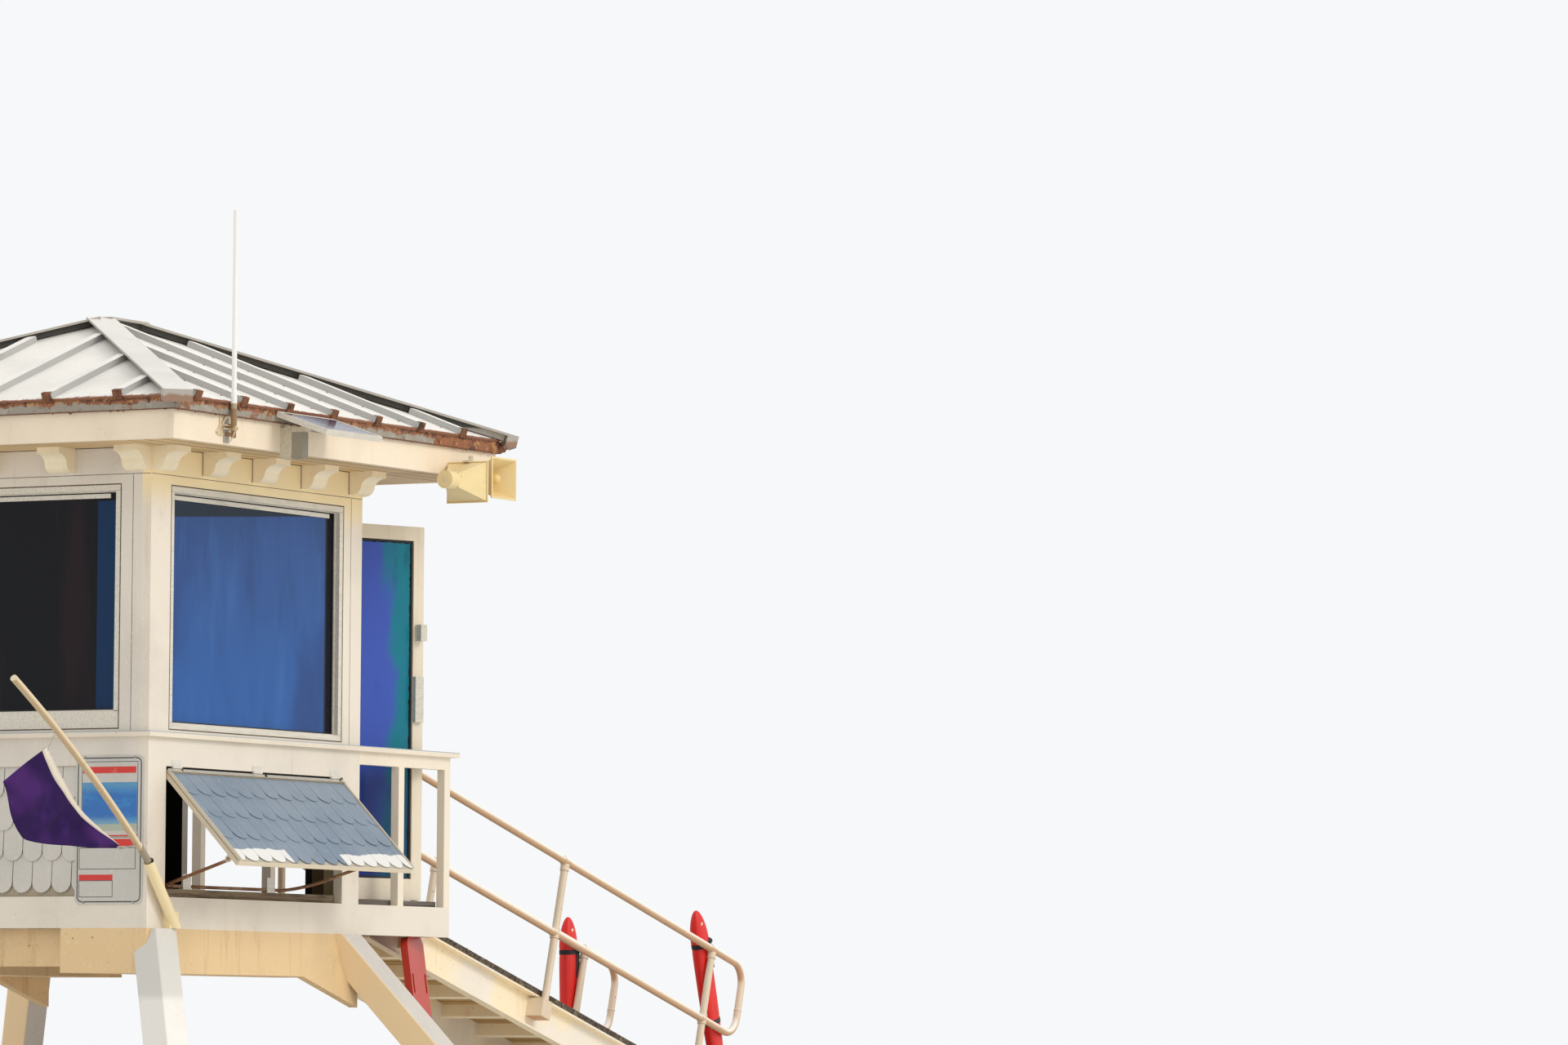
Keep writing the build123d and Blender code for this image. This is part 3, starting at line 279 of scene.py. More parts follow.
def rust_patches(look):
    """The broad patches and the small flecks that old metal rusts in."""
    patch = look.noise(5.5, stretch=(1, 1, 1.6), detail=7, rough=0.7)
    return patch, look.noise(34, detail=5, rough=0.75)


def rusted(name, colour, rust=(142, 86, 52), deep=(82, 46, 32), share=0.5):
    """Old metal going to rust: share says how much of it has gone."""
    look = Look(name, colour, metallic=0.1)
    patch, fleck = rust_patches(look)
    edge = 0.78 - 0.5 * share
    look.tint(rust, patch, edge - 0.08, edge + 0.06)
    look.tint((176, 122, 72), fleck, 0.55, 0.72, 0.55 * share + 0.15)
    look.blots(deep, 0.56, 0.7, 0.8 * share + 0.1, 17, detail=6, rough=0.7)
    look.blots((196, 116, 60), 0.53, 0.64, 0.75 * share, 63, detail=5, rough=0.8)
    look.blots((52, 32, 24), 0.58, 0.66, 0.7 * share, 41, detail=4, rough=0.8)
    look.blots((214, 205, 190), 0.66, 0.76, 0.35, 120, detail=3)
    look.relief(patch, 1.2 * share + 0.2)
    look.relief(fleck, 1.2 * share + 0.3)
    return look.gloss(fleck, 0.5, 0.9)


def drip_look(name):
    """Grey sheet edge, eaten by rust along its top, its foot line and its sea end."""
    look = Look(name, (160, 152, 138), roughness=0.65, metallic=0.1)
    patch, fleck = rust_patches(look)
    ragged = look.times(look.noise(15, detail=6, rough=0.75), 0.085)
    height = look.plus(look.part("Z"), look.plus(ragged, look.times(patch, 0.05)))
    top = look.shade(height, 4.026, 4.034)
    seaward = look.wavy("X", patch, 0.5)
    sea_end = look.shade(seaward, spot(2490, 0, 0).x, spot(2560, 0, 0).x)
    look.blots((190, 182, 168), 0.5, 0.7, 0.6, 13, detail=4)
    look.tint((142, 92, 58), patch, 0.55, 0.6, 0.9)
    look.over((150, 94, 60), sea_end, 0.95)
    look.over((148, 94, 60), top, 0.95)
    look.tint((96, 54, 36), height, 4.04, 4.052, 0.8)
    look.tint((112, 64, 42), look.wavy("Z", fleck, 0.012), 3.936, 3.933, 0.85)
    rusty = look.maths("MAXIMUM", top, sea_end)
    for colour, flecks, low, high, amount in (
        ((190, 112, 58), look.noise(52, detail=5, rough=0.8), 0.5, 0.62, 0.75),
        ((206, 160, 108), look.noise(19, detail=5), 0.56, 0.64, 0.7),
        ((66, 38, 28), look.noise(15, detail=6, rough=0.8), 0.52, 0.6, 0.85),
    ):
        look.over(colour, look.times(rusty, look.shade(flecks, low, high)), amount)
    look.blots((62, 36, 26), 0.57, 0.66, 0.6, 26, detail=6, rough=0.8)
    look.blots((118, 112, 104), 0.55, 0.7, 0.35, 34, stretch=(1, 1, 0.08), detail=3)
    look.relief(patch, 1.2)
    look.relief(fleck, 1.4)
    return look.gloss(fleck, 0.55, 0.9)


def plastic(name, colour, marks=(120, 110, 96), amount=0.25, low=0.3, high=0.5, pitch=140):
    """Moulded plastic with a fine skin, scuffs and dust."""
    look = Look(name, colour, roughness=low)
    dust = look.noise(3.1, detail=5, rough=0.65)
    scuff = look.noise(26, stretch=(1, 0.5, 0.35), detail=4, twist=0.8)
    look.tint(tuple(min(255, int(value * 1.06 + 6)) for value in colour), dust, 0.45, 0.75, 0.5)
    look.tint(marks, scuff, 0.62, 0.75, amount)
    look.relief(look.noise(pitch, detail=2), 0.12)
    look.relief(scuff, 0.2)
    return look.gloss(dust, low, high)


def bare_metal(name, colour, stain=(120, 98, 74), amount=0.3, metallic=0.75):
    """Mill-finish or zinc-coated metal with drawn lines and stained patches."""
    look = Look(name, colour, roughness=0.45, metallic=metallic)
    drawn = look.noise(60, stretch=(0.12, 1, 1), detail=4)
    patch = look.noise(7, detail=6, rough=0.7)
    spangle = look.node("TexVoronoi", {"Scale": 90, "Vector": look.stretched((1, 1, 1))})
    look.tint(tuple(int(value * 0.86) for value in colour), drawn, 0.4, 0.7, 0.5)
    look.tint(stain, patch, 0.58, 0.74, amount)
    look.tint((255, 255, 252), spangle.outputs["Distance"], 0.3, 0.6, 0.12)
    look.relief(drawn, 0.15)
    look.relief(patch, 0.25)
    return look.gloss(patch, 0.35, 0.6)


def woven(name, colour, shadow, pitch=900, sheen=0.3):
    """Close cloth or webbing: two sets of threads, with paler patches of fading and, on the flag, painted
    light.
    """
    look = Look(name, colour, roughness=0.85)
    look.hold({"Sheen Weight": sheen, "Sheen Roughness": 0.5})
    warp = look.noise(pitch, stretch=(1, 1, 0.12), detail=1)
    weft = look.noise(pitch, stretch=(0.12, 0.12, 1), detail=1)
    fade_and_light = tuple(min(255, int(value * 1.5 + 12)) for value in colour)
    look.tint(shadow, warp, 0.45, 0.62, 0.35)
    look.tint(shadow, weft, 0.45, 0.62, 0.3)
    look.blots(fade_and_light, 0.5, 0.78, 0.45, 4.5, detail=5, rough=0.6)
    look.relief(warp, 0.25)
    return look.relief(weft, 0.25)


def glass_film(look):
    """The soft upright streaks and slight waves of film-covered glass."""
    look.hold({"IOR": 1.4, "Specular IOR Level": 0.22})
    look.gloss(look.noise(6, detail=5), 0.06, 0.2)
    return look.relief(look.noise(1.2, detail=1), 0.4)


def window_glass_look(name):
    """Blue film on the near, far and sea panes, partly painted sky reflection, and painted shade of the
    room behind.
    """
    look = Look(name, (48, 84, 146))
    near_y = (0, 80)
    land_x = (-10, 80)
    # The film's blue, lighter lower down, with mottles and upright streaks, is partly a painted sky
    # reflection.
    look.along((40, 98, 172), "Z", 3.3, 2.3, 0.6)
    look.blots((36, 66, 124), 0.44, 0.68, 0.75, 1.5, stretch=(1, 1, 0.5), detail=4, twist=0.4)
    look.blots((60, 108, 172), 0.5, 0.74, 0.4, 7, stretch=(1, 1, 0.16), detail=5)
    look.blots((30, 56, 104), 0.52, 0.72, 0.45, 4, stretch=(1, 1, 0.2), detail=4)
    # Painted shade of the room's head along the top of the near pane.
    across = look.maths("SUBTRACT", look.part("X"), spot(237, 0, 0).x)
    edge = look.plus(look.times(across, 0.066), 3.386)
    head = look.shade(look.maths("SUBTRACT", look.part("Z"), edge), -0.004, 0.004)
    look.over((26, 40, 58), look.times(look.within((200, 2000), near_y, pane_up), head))
    # Painted shade of the room: a dark strip at the near pane's sea side, and the landward pane dark.
    look.zones(
        ((14, 12, 12), (1878, 1990), near_y, pane_up, 0.96),
        ((17, 18, 24), land_x, (200, 2000), pane_up),
    )
    # Dim reddish tones within the landward pane's painted room shade.
    dim = look.shade(look.noise(3, stretch=(1, 1, 0.1), detail=4), 0.52, 0.66)
    look.over((40, 26, 30), look.times(dim, look.within(land_x, (380, 2000), pane_up)), 0.7)
    look.zones(
        ((18, 52, 92), land_x, (262, 384), (2200, 3470), 0.9),
        ((28, 90, 112), land_x, (200, 272), (2200, 3470), 0.7),
    )
    return glass_film(look)


def door_glass_look(name):
    """Film on the door that turns from violet blue at the hinges to teal at the free edge, partly a painted
    sky reflection.
    """
    look = Look(name, (68, 92, 184))
    across = look.maths("SUBTRACT", look.part("X"), spot(2290, 0, 0).x)
    cloud = look.noise(2.1, stretch=(1.4, 1.4, 0.45), detail=4, twist=0.6)
    wander = look.plus(across, look.times(cloud, 0.5))
    look.tint((26, 126, 142), wander, 0.66, 0.74, 0.95)
    look.tint((50, 96, 162), wander, 0.86, 0.96, 0.8)
    look.blots((20, 60, 96), 0.52, 0.72, 0.5, 5, stretch=(1, 1, 0.4), detail=4)
    look.along((26, 40, 84), "Z", 2.2, 1.9, 0.7)
    return glass_film(look)


def cap_look(name):
    """Pale hip and ridge caps with painted shade on their sides, a painted shadow line under their lips and
    rusty feet.
    """
    look = painted(name, (238, 236, 230), (160, 146, 128), 0.3, 0.4)
    # Painted shade on the caps' sides.
    side = look.shade(look.facing("Z"), 0.35, 0.2)
    above_ends = look.shade(look.part("Z"), 4.06, 4.075)
    look.over((168, 160, 148), side, 0.8)
    middle = spot((eave_low + eave_high_x) / 2, (eave_low + eave_high_y) / 2, 0)
    inward = []
    for axis, centre, width in (
        ("X", middle.x, eave_high_x - eave_low),
        ("Y", middle.y, eave_high_y - eave_low),
    ):
        away = look.maths("ABSOLUTE", look.maths("SUBTRACT", look.part(axis), centre))
        inward.append(look.maths("SUBTRACT", width / 2000, away))
    slope_height = look.times(look.maths("MINIMUM", *inward), roof_rise / roof_run)
    above_roof = look.maths("SUBTRACT", look.part("Z"), slope_height)
    # Painted shadow: a dark line under the caps' lips, above the eave ends.
    lip = look.shade(above_roof, eave_z / 1000 + 0.059, eave_z / 1000 + 0.055)
    look.over((44, 38, 34), look.times(lip, look.times(side, above_ends)), 0.9)
    foot = look.wavy("Z", look.noise(14, detail=5), 0.06)
    return look.tint((146, 92, 56), foot, 4.028, 4.01, 0.7)


def hatch_shingle_look(name):
    """White shingles in blue-grey painted shade, with painted sunlight on stretches of the lowest tips."""
    # The blue-grey base is painted shade of the eave over white shingles.
    look = Look(name, (136, 151, 167), roughness=0.6)
    cloud = look.noise(2.2, detail=5)
    grain = look.noise(60, stretch=(1, 0.08, 0.08), detail=5, rough=0.65)
    look.tint((120, 137, 156), cloud, 0.42, 0.68, 0.7)
    look.tint((104, 114, 126), grain, 0.5, 0.72, 0.35)
    look.blots((164, 173, 180), 0.58, 0.76, 0.5, 19, detail=4)
    # Painted sunlight on two stretches of the lowest tips.
    low = look.wavy("Z", look.noise(4.5, detail=3), 0.06)
    left, right = (look.within(x, (-700, 0), (1400, 1700)) for x in ((200, 745), (1300, 1998)))
    look.over((238, 238, 234), look.times(look.shade(low, 1.572, 1.565), look.plus(left, right)))
    look.relief(grain, 0.5)
    look.relief(cloud, 0.4)
    return look.gloss(cloud, 0.5, 0.75)


def dress(look, *names):
    """Gives CAD nodes their material, and hands it on."""
    for name in names:
        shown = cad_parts[name]
        if not shown.material_slots:
            shown.data.materials.append(look.joined())
        for material_slot in shown.material_slots:
            material_slot.material = look.joined()
    return look


# Paint

low_room = (1262, 2150)
cream = painted("cream_wall_paint", (236, 226, 211), room=True)
# Painted warm bounce light high on the walls, under the eave.
cream.along((255, 234, 186), "Z", 3.38, 3.6, 0.95)
# Inside the sea wall's near corner: a painted sunlit patch on the cream post, and a dark brown strip beside
# it.
cream.zones(
    ((224, 202, 160), (2137, 2143), (58, 200), low_room),
    ((122, 102, 78), (2137, 2143), (200, 300), low_room),
)
dress(cream, "rim_boards", "near_wall", "near_posts", "far_wall", "seaward_wall", "door_header")
trim = painted("cream_trim_paint", (243, 231, 211), streaks=0.3, spots=0.2, room=True)
dress(trim, "door_frame", "side_railings", "sea_railing")
# Fascias, corbels and soffit are warm copies of the cream paint: painted warm bounce light under the eave.
# The soffit's tan is painted shade with that warm light, darker towards its sea end.
dress(painted("fascia_paint", (250, 233, 207), (214, 172, 122), 0.35, 0.2), "fascias")
dress(painted("corbel_paint", (255, 240, 208), (206, 164, 112), 0.3, 0.2), "corbels")
soffit = painted("soffit_paint", (222, 190, 140), (150, 112, 70), 0.5, room=True)
soffit.along((196, 162, 112), "X", spot(2190, 0, 0).x, spot(2260, 0, 0).x, 0.8)
dress(soffit, "soffit")
dress(painted("landward_wall_paint", (230, 222, 210), streaks=0.3, spots=0.15, room=True), "landward_wall")
white_legs = painted("white_leg_paint", (246, 243, 236), (206, 178, 136), 0.25)
# Painted shade of the hut over the upper part of the landward legs.
white_legs.along((214, 212, 206), "Z", 0.68, 0.74, 0.8)
dress(white_legs, "leg_near_landward", "leg_far_landward")
# The seaward legs stand in the hut's shade: their grey is painted shade, and the tan on their landward
# faces is painted warm bounce light.
shaded_legs = painted("shaded_leg_paint", (214, 208, 200), streaks=0.3)
shaded_legs.turned((255, 224, 174), "X", -0.3, -0.6, 0.9)
dress(shaded_legs, "leg_near_seaward", "leg_far_seaward")
rail_paint = painted("handrail_paint", (232, 214, 188), (206, 164, 108), 0.4, 0.7)
# Painted highlight along the pipes' tops and painted shade under them.
rail_paint.turned((196, 152, 112), "Z", 0.1, -0.2, 0.85)
rail_paint.turned((252, 248, 240), "Z", 0.22, 0.42, 0.95)
dress(rail_paint, "handrail_near", "handrail_far")
channel = painted("channel_paint", (252, 236, 202), (214, 156, 90), 0.5, 0.6)
web_face = channel.shade(channel.facing("Y"), -0.8, -0.95)
web_patch = channel.shade(channel.noise(1.6, detail=4), 0.42, 0.56)
channel.over((242, 236, 228), channel.times(web_face, web_patch), 0.75)
dress(channel, "ramp_frame")
beam_paint = painted("stained_beam_paint", (236, 204, 154), (176, 108, 56), 0.7, 0.8)
dress(beam_paint, "girders", "cross_beams", "knee_braces")
roof_paint = painted("roof_sheet_paint", (252, 249, 243), (176, 150, 122), 0.2, 0.5)
# Painted shade on the ribs' sides, by the way they face.
roof_paint.turned((142, 144, 144), "Z", 0.6, 0.3, 0.7)
eaten = roof_paint.wavy("Z", roof_paint.noise(26, detail=6, rough=0.8), 0.05)
roof_paint.tint((142, 84, 50), eaten, 4.036, 4.03, 0.95)
dress(roof_paint, "roof_near", "roof_far", "roof_landward", "roof_seaward")
dress(cap_look("roof_cap_paint"), "roof_caps")
dress(painted("sign_enamel", (206, 202, 194), (170, 154, 132), 0.25, bump=0.1), "sign_plate")
ledge = painted("ledge_paint", (238, 226, 206), (190, 150, 100), 0.3, room=True)
dress(ledge.zones(((176, 182, 188), (-40, 3300), (-40, 2300), (2179.5, 2185))), "ledges")
dress(painted("door_frame_paint", (236, 224, 202), streaks=0.25, spots=0.25), "door_leaf")
hatch_frame = painted("hatch_frame_paint", (243, 229, 202), streaks=0.3)
# Painted shade: grey on the frame's upward faces and darker on its landward sides.
hatch_frame.turned((180, 172, 158), "Z", 0.5, 0.6, 0.85)
hatch_frame.turned((200, 186, 162), "X", -0.8, -0.9, 0.8)
dress(hatch_frame, "hatch_panel")
caulk = painted("dark_caulk", (92, 78, 58), (60, 48, 36), spots=0.6)
hatch_shingle = hatch_shingle_look("hatch_shingle_paint")
pale_shingle = painted("pale_shingle_paint", (214, 209, 200), (168, 160, 148), 0.4, 0.1)
# Dark boards behind the shingles: painted shade in the gaps between the tabs and under their tips.
hatch_gap_shade = painted("shaded_hatch_board", (104, 110, 116), (80, 74, 66), 0.4)
wall_gap_shade = painted("shaded_wall_board", (176, 162, 140), (140, 120, 92), 0.4)


# Timber, rust and metal

grain_along_x = (0.06, 1, 1)
deck_colours = ((112, 104, 96), (62, 54, 48), (158, 150, 140))
joist_colours = ((186, 150, 104), (130, 92, 56), (214, 186, 140))
sill_colours = ((152, 134, 110), (86, 70, 56), (206, 198, 182))
dress(timber("grey_deck_timber", *deck_colours, grain_along_x), "floor_boards", "deck_boards")
dress(timber("warm_joist_timber", *joist_colours, grain_along_x, 0.3, 0.8), "floor_joists")
dress(timber("grey_sill_timber", *sill_colours, grain_along_x, 0.6, 2.0), "hatch_sill")
ramp_wood = timber("dark_ramp_timber", (96, 82, 68), (48, 38, 30), (150, 132, 110), split=0.8, bump=2.6)
ramp_wood.blots((172, 154, 130), 0.59, 0.67, 0.6, 44, detail=3)
ramp_wood.turned((206, 168, 112), "Z", -0.5, -0.8, 0.85)
dress(ramp_wood, "ramp_planks")
dress(drip_look("rusted_drip_edge"), "drip_edge")
deep_rust = rusted("deep_rust", (146, 102, 68), (122, 78, 50), (60, 38, 30), 0.7)
deep_rust.blots((48, 30, 24), 0.5, 0.58, 0.8, 13, detail=5, rough=0.8)
dress(rusted("rusted_rod", (158, 128, 98), (124, 82, 54), share=0.6), "hatch_prop")
stained_steel = rusted("stained_clamp_steel", (226, 208, 176), (164, 128, 88), (110, 80, 56), 0.3)
aluminium = bare_metal("pale_aluminium", (222, 215, 200), (176, 164, 142), metallic=0.05)
dress(aluminium, "window_frames", "solar_panel")
bracket = bare_metal("grey_bracket_metal", (206, 194, 168), (150, 128, 98), metallic=0.05)
# Painted shade in the bracket's open channel, and a darker grey arm under the panel.
bracket.zones(
    ((150, 144, 128), (655, 730), (-566, -492), (3720, 3872)),
    ((158, 152, 138), (728, 1200), (-900, -414), (3700, 4100)),
)
dress(bracket, "solar_bracket", "horn_bracket")
pull = bare_metal("worn_pull_metal", (214, 208, 192), (160, 150, 128), metallic=0.15)
dress(pull.zones(((156, 146, 118), (2900, 3200), (350, 700), (2830, 2930))), "door_hardware")
dress(bare_metal("worn_hinge_steel", (182, 178, 168), amount=0.45), "door_hinges")
zinc = dress(bare_metal("weathered_zinc", (168, 164, 154), amount=0.5), "flag_ties")
closure_metal = bare_metal("grey_closure_metal", (176, 172, 162), (132, 108, 82), metallic=0.2)
clip_metal = bare_metal("pale_clip_metal", (224, 220, 210), (150, 104, 70), metallic=0.3)
dress(clip_metal, "hatch_hinges", "sill_clips")


# Plastic, glass and cloth

stain_z = (3790, 3962)
antenna_skin = plastic("white_mast_skin", (246, 246, 242), amount=0.2)
antenna_skin.zones(
    ((150, 118, 82), (70, 150), (-500, -414), stain_z),
    ((176, 158, 128), (70, 150), (-500, -414), (3962, 3990)),
    ((178, 172, 158), (60, 160), (-421, -414), (3700, 3950)),
)
dress(antenna_skin, "antenna")
pole_skin = plastic("cream_pole_plastic", (230, 208, 172), amount=0.35)
# Painted highlight on the pole's upper side and painted shade on its underside.
pole_skin.turned((250, 240, 222), "Z", 0.4, 0.7, 0.8)
pole_skin.turned((184, 156, 116), "Z", -0.2, -0.5, 0.7)
dress(pole_skin.zones(((160, 146, 124), (-150, -40), (-90, 0), (1440, 1545))), "flagpole")
socket_skin = plastic("socket_plastic", (246, 226, 180), (196, 168, 120), 0.5, 0.4, 0.65)
dress(socket_skin, "pole_socket")
horn_skin = plastic("aged_horn_plastic", (240, 216, 160), (176, 138, 88), 0.4)
dress(horn_skin, "horn_speakers")
horn_throat = plastic("yellowed_horn_inside", (232, 200, 132), (160, 118, 66), 0.35)
dress(plastic("red_board_plastic", (192, 50, 32), (206, 104, 80), 0.55), "backboard")
tube_foam = plastic("red_foam_skin", (222, 30, 22), (150, 14, 16), 0.35, 0.34, 0.55, 420)
dress(tube_foam, "rescue_tubes")
rubber = plastic("black_gasket_rubber", (26, 27, 30), (84, 84, 84), 0.3, 0.5, 0.75)
sign_blue = plastic("faded_blue_field", (46, 112, 188), (140, 176, 212), 0.5, 0.35)
sign_blue.along((108, 168, 196), "Z", 1.82, 1.9, 0.7)
sign_blue.along((150, 196, 204), "Z", 1.72, 1.67, 0.6)
sign_blue.blots((52, 142, 206), 0.5, 0.66, 0.6, 9, stretch=(1, 1, 4), detail=3)
sign_sand = plastic("faded_sand_field", (176, 186, 168), (150, 150, 134), 0.4)
sign_red = plastic("faded_red_field", (216, 54, 46), (232, 150, 140), 0.35, 0.35)
sign_black = plastic("faded_black_line", (40, 42, 48), (120, 120, 124), 0.45)
cell_glass = plastic("solar_cell_glass", (34, 44, 92), (70, 84, 150), 0.5, 0.08, 0.2)
purple_cloth = woven("purple_flag_cloth", (46, 22, 78), (28, 12, 52), sheen=0.0)
purple_cloth.hold({"Specular IOR Level": 0.15})
# Paler patches of painted light on the flag's lit folds, with some sun fading.
purple_cloth.blots((78, 38, 108), 0.48, 0.66, 0.7, 1.9, stretch=(1, 1, 1.8), detail=2)
dress(purple_cloth, "flag")
heading_cloth = woven("cream_heading_tape", (238, 226, 206), (190, 176, 154))
webbing = woven("black_webbing", (24, 24, 26), (6, 6, 8), pitch=1400)
dress(window_glass_look("filmed_window_glass"), "window_glass")
dress(door_glass_look("filmed_door_glass"), "door_glass")


# Mesh tools

def full_turn(count):
    """Angles round a full turn, evenly apart."""
    return [2 * pi * number / count for number in range(count)]


def moved(place, at, turn, axis="Z"):
    """A local frame, moved within itself and turned about one of its axes."""
    return place @ Matrix.Translation(at) @ Matrix.Rotation(turn, 4, axis)


def shown_object(name, data):
    """A new object in the scene."""
    shown = bpy.data.objects.new(name, data)
    bpy.context.collection.objects.link(shown)
    return shown


class Piece:
    """Collects the faces of one scene object."""

    def __init__(self):
        self.mesh = bmesh.new()

    def prism(self, place, outline, low, high):
        """A plate: an outline in a local frame, thick from low to high."""
        return self.plate([[place @ Vector((x, y, z)) for x, y in outline] for z in (low, high)])

    def block(self, place, x, y, z):
        """A straight block in a local frame."""
        return self.prism(place, ((x[0], y[0]), (x[1], y[0]), (x[1], y[1]), (x[0], y[1])), *z)

    def ring(self, place, x, y, width, z):
        """A rectangular frame of four strips in a local frame."""
        self.block(place, x, (y[0], y[0] + width), z)
        self.block(place, x, (y[1] - width, y[1]), z)
        self.block(place, (x[0], x[0] + width), (y[0] + width, y[1] - width), z)
        return self.block(place, (x[1] - width, x[1]), (y[0] + width, y[1] - width), z)

    def disc(self, place, x, y, radius, low, high, sides=12):
        """A round or many-sided head in a local frame."""
        rim = [(x + radius * cos(turn), y + radius * sin(turn)) for turn in full_turn(sides)]
        self.prism(place, rim, low, high)

    def bolt(self, place, x, y, radius, rise=0.0):
        """A washer with a six-sided head and the end of its thread."""
        self.disc(place, x, y, radius * 1.5, rise, rise + radius * 0.25)
        self.disc(place, x, y, radius, rise + radius * 0.25, rise + radius, 6)
        self.disc(place, x, y, radius * 0.5, rise + radius, rise + radius * 1.3, 8)

    def points(self, rows):
        """Rows of points of the frame as rows of vertices."""
        return [[self.mesh.verts.new(point) for point in row] for row in rows]

    def band(self, ring, after, open_end=0):
        """The faces between two rings, or, with an open end, between two lines."""
        for number in range(len(ring) - open_end):
            beside = (number + 1) % len(ring)
            self.mesh.faces.new((ring[number], ring[beside], after[beside], after[number]))

    def plate(self, rows):
        """A closed plate between two rings of points, foot and head."""
        feet, heads = self.points(rows)
        self.mesh.faces.new(list(reversed(feet)))
        self.mesh.faces.new(heads)
        self.band(feet, heads)
        return self

    def loops(self, rows, closed_ends=True):
        """A skin through rings of points that all have the same count."""
        rings = self.points(rows)
        for ring, after in zip(rings, rings[1:]):
            self.band(ring, after)
        if closed_ends:
            self.mesh.faces.new(list(reversed(rings[0])))
            self.mesh.faces.new(rings[-1])
        return self

    def tube(self, points, radius, sides=10):
        """A round rod along a line of points of the frame, radius in millimetres."""
        rows = []
        side = None
        for number, point in enumerate(points):
            ahead = points[min(number + 1, len(points) - 1)] - points[max(number - 1, 0)]
            run = ahead.normalized()
            if side is None:
                side = run.orthogonal().normalized()
            side = (side - run * side.dot(run)).normalized()
            other = run.cross(side)
            rows.append([
                point + (side * cos(turn) + other * sin(turn)) * radius / 1000
                for turn in full_turn(sides)
            ])
        self.loops(rows)

    def finish(self, name, look, slot, body="tower", bevel=0.0, smooth=False, subdivide=0):
        """Makes the object, gives it its material and sets it on its body."""
        bmesh.ops.recalc_face_normals(self.mesh, faces=self.mesh.faces)
        data = bpy.data.meshes.new(name)
        self.mesh.to_mesh(data)
        self.mesh.free()
        shown = shown_object(name, data)
        data.materials.append(look.joined())
        if bevel:
            rounding = shown.modifiers.new("edges", "BEVEL")
            rounding.width = bevel / 1000
            rounding.segments = 2
            rounding.limit_method = "ANGLE"
        if subdivide:
            finer = shown.modifiers.new("surface", "SUBSURF")
            finer.levels = subdivide
            finer.render_levels = subdivide
        if smooth:
            for face in data.polygons:
                face.use_smooth = True
        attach(shown, body)
        return shown


# The hut's planes. Each has its own X to the right as seen from outside and Y up.

near_plane = axes((0, 0, 0), (1, 0, 0), (0, 0, 1))
far_plane = axes((hut_length, hut_width, 0), (-1, 0, 0), (0, 0, 1))
land_plane = axes((0, hut_width, 0), (0, -1, 0), (0, 0, 1))
sea_plane = axes((hut_length, 0, 0), (0, 1, 0), (0, 0, 1))
hatch_lean = radians(44)
hatch_up = Vector((0, sin(hatch_lean), cos(hatch_lean)))
hatch_plane = axes((0, -8, 1990), (1, 0, 0), hatch_up)
door_lean = radians(-18)
door_plane = axes((2208, 331, 0), (cos(door_lean), sin(door_lean), 0), (0, 0, 1))


# Shingles: rows of rounded tabs, each lying on the row below it

def shingles(piece, place, across, up, count, step, surface, lean=7, tab=0.42, gap=1.2):
    """Fills a field with rows of tabs, a step apart. surface is the height of the board under them."""
    width = (across[1] - across[0]) / count
    for row in range(int((up[1] - up[0]) / step + 0.9)):
        foot = up[0] + row * step
        shift = 0 if row % 2 else width / 2
        for number in range(-1, count + 1):
            left = across[0] + number * width + shift
            low_x = max(left + gap, across[0])
            high_x = min(left + width - gap, across[1])
            if high_x - low_x < width * 0.2:
                continue
            drop = draw(-2, 5) if row else 0
            proud = lean + draw(-1.2, 1.8)
            middle = left + width / 2
            outline = []
            for turn in range(9):
                angle = pi + pi * turn / 8
                x = middle + width / 2 * cos(angle)
                y = foot + drop + width * tab * (1 + sin(angle))
                outline.append((min(max(x, low_x), high_x), y))
            head = min(up[1], foot + step * 1.25)
            if head - foot < width * tab + 6:
                continue
            outline += [(high_x, head), (low_x, head)]
            heights = [surface + 2 + proud * max(0.0, 1 - (y - foot) / (step * 1.2)) for _, y in outline]
            piece.plate([
                [place @ Vector((x, y, height - depth)) for (x, y), height in zip(outline, heights)]
                for depth in (4.5, 0)
            ])


panel_up = (1272, 1993)
board_face = -20
backing = (board_face - 0.5, board_face + 0.6)
# A dark board behind the hatch's shingles paints the shade between them.
hatch_backing = Piece().block(hatch_plane, (204.2, 1995.8), (-680, -29), backing)
hatch_backing.finish("hatch_shingle_backing", hatch_gap_shade, "cream_paint", "hatch")
# The wall panels get a board in painted shade behind their shingles.
wall_backing = Piece()
hatch_rows = Piece()
shingles(hatch_rows, hatch_plane, (204.5, 1995.5), (-711, -30), 13, 170, board_face)
hatch_rows.finish("hatch_shingles", hatch_shingle, "cream_paint", "hatch", bevel=1)
for label, place, across in (
    ("land_shingles", land_plane, (182, 2018)),
    ("far_shingles", far_plane, (182, 2018)),
    ("sea_shingles", sea_plane, (1273, 2018)),
):
    panel = Piece()
    number = round((across[1] - across[0]) / 131)
    up = (panel_up[0] + 20, panel_up[1])
    shingles(panel, place, across, up, number, 175, board_face, 13, 0.5, 2.4)
    wall_backing.block(place, across, panel_up, backing)
    panel.finish(label, pale_shingle, "cream_paint", bevel=1)
wall_backing.finish("wall_shingle_backing", wall_gap_shade, "cream_paint")


# The hatch's top strip with its bolts, the joint lines on its frame, and the strip behind its head

